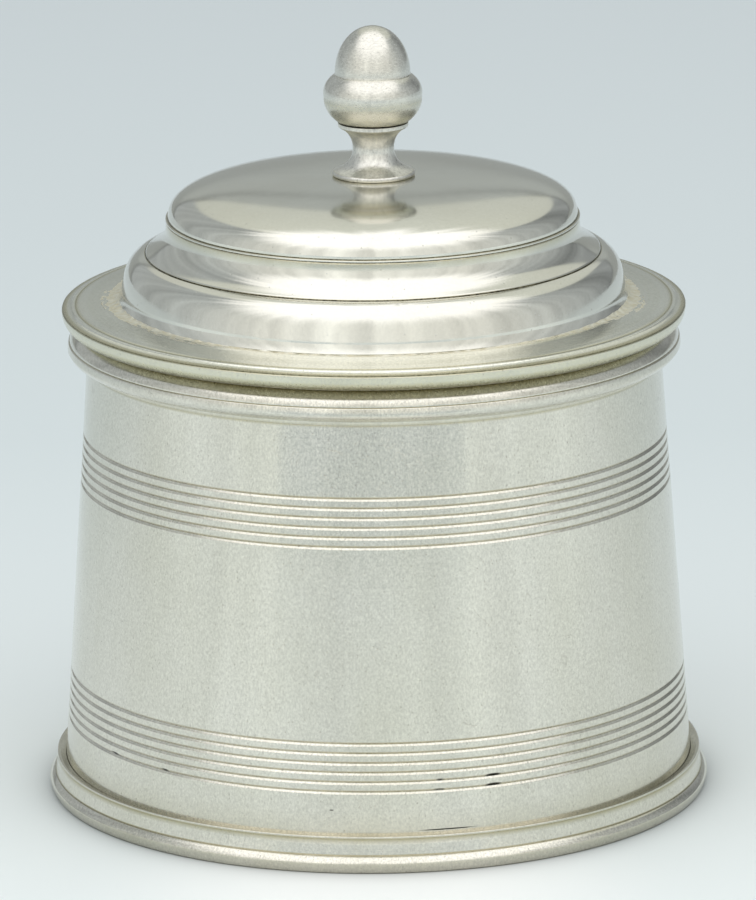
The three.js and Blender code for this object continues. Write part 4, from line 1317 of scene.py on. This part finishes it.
low_hole = Corner(SPONGE_HOLE, SPONGE_LOW + 0.4, 0.6)
high_hole = Corner(SPONGE_HOLE, SPONGE_HIGH - 0.3, 0.6)
low_edge = Corner(SPONGE_RADIUS - 0.2, SPONGE_LOW + SPONGE_CROWN, 1.6)
high_edge = Corner(SPONGE_RADIUS - 0.2, SPONGE_HIGH - 0.3, 1.6)
sponge_section = [low_hole, *bow(low_hole, low_edge, SPONGE_CROWN * 0.7, 40), low_edge, high_edge,
                  *bow(high_edge, high_hole, 0.15, 40), high_hole]
pore_draw = np.random.default_rng(27)
PORE_WAVES = [(pore_draw.integers(8, 90), pore_draw.uniform(-2.5, 2.5), pore_draw.uniform(0, 6.28))
              for _ in range(24)]


def porous(angle, r, z):
    """Makes the sponge's skin uneven, inwards only."""
    rough = sum(np.cos(n * angle + k * r + k * z + p) for n, k, p in PORE_WAVES) / 5
    dip = PORE_DIP * np.clip(rough, -1, 1) + PORE_DIP
    inward = np.where(z > SPONGE_MIDDLE, -1.0, 1.0)
    return r - 0.3 * dip, z + inward * dip


sponge = turn("damp_sponge", sponge_section, segments=256, shape=porous)
hang(sponge, sponge_finish, "sponge", "humidifier", "humidifier_sponge")

# %% [markdown]
# The pierced plate keeps the sponge in the pan and lets the damp air out. Its round holes could be cut
# with booleans, but a filled 2D curve cuts them cleanly and bevels every edge in one step.

# %% Outline and holes of the pierced plate
PLATE_RADIUS, PLATE_LOW, PLATE_HIGH = extent("humidifier_grille")
PLATE_EDGE = 0.2
HOLE_RADIUS = 2.0
HOLE_MARGIN = 2.7
HUB_RADIUS = 8.0
RING_PITCH = 9.6
HOLES_PER_PITCH = 6

plate_curve = bpy.data.curves.new("pierced_plate", "CURVE")
plate_curve.dimensions = "2D"
plate_curve.fill_mode = "BOTH"
plate_curve.extrude = ((PLATE_HIGH - PLATE_LOW) / 2 - PLATE_EDGE) * MM
plate_curve.bevel_depth = PLATE_EDGE * MM
plate_curve.bevel_resolution = 2
plate_curve.offset = -PLATE_EDGE * MM


def add_circle(x, y, radius, points):
    """A closed round spline of straight steps in the plate's curve."""
    spline = plate_curve.splines.new("POLY")
    spline.points.add(points - 1)
    for k, point in enumerate(spline.points):
        a = 2 * math.pi * k / points
        point.co = ((x + radius * math.cos(a)) * MM, (y + radius * math.sin(a)) * MM, 0.0, 1.0)
    spline.use_cyclic_u = True


add_circle(0.0, 0.0, PLATE_RADIUS, 192)
add_circle(0.0, 0.0, STUD_BORE, 32)
hole_ring = PLATE_RADIUS - HOLE_MARGIN - HOLE_RADIUS
while hole_ring > HUB_RADIUS + HOLE_RADIUS:
    holes = HOLES_PER_PITCH * round(hole_ring / RING_PITCH)
    for k in range(holes):
        a = 2 * math.pi * k / holes
        add_circle(hole_ring * math.cos(a), hole_ring * math.sin(a), HOLE_RADIUS, 32)
    hole_ring -= RING_PITCH
print("the plate has", len(plate_curve.splines) - 2, "holes")

# %% Pierced plate
flat = bpy.data.objects.new("flat_plate", plate_curve)
bpy.context.scene.collection.objects.link(flat)
bpy.context.view_layer.update()
plate_mesh = bpy.data.meshes.new_from_object(flat.evaluated_get(bpy.context.evaluated_depsgraph_get()))
bpy.data.objects.remove(flat)
plate_mesh.transform(Matrix.Translation((0, 0, (PLATE_LOW + PLATE_HIGH) / 2 * MM)))
section_places = plate_mesh.uv_layers.new(name="section").data
for loop in plate_mesh.loops:
    spot = plate_mesh.vertices[loop.vertex_index].co
    around = math.atan2(spot.x, -spot.y) / (2 * math.pi)
    section_places[loop.index].uv = (around, math.hypot(spot.x, spot.y) / MM)
plate = finished("pierced_plate", plate_mesh)
hang(plate, aluminium, "pan_aluminium", "humidifier", "humidifier_grille")
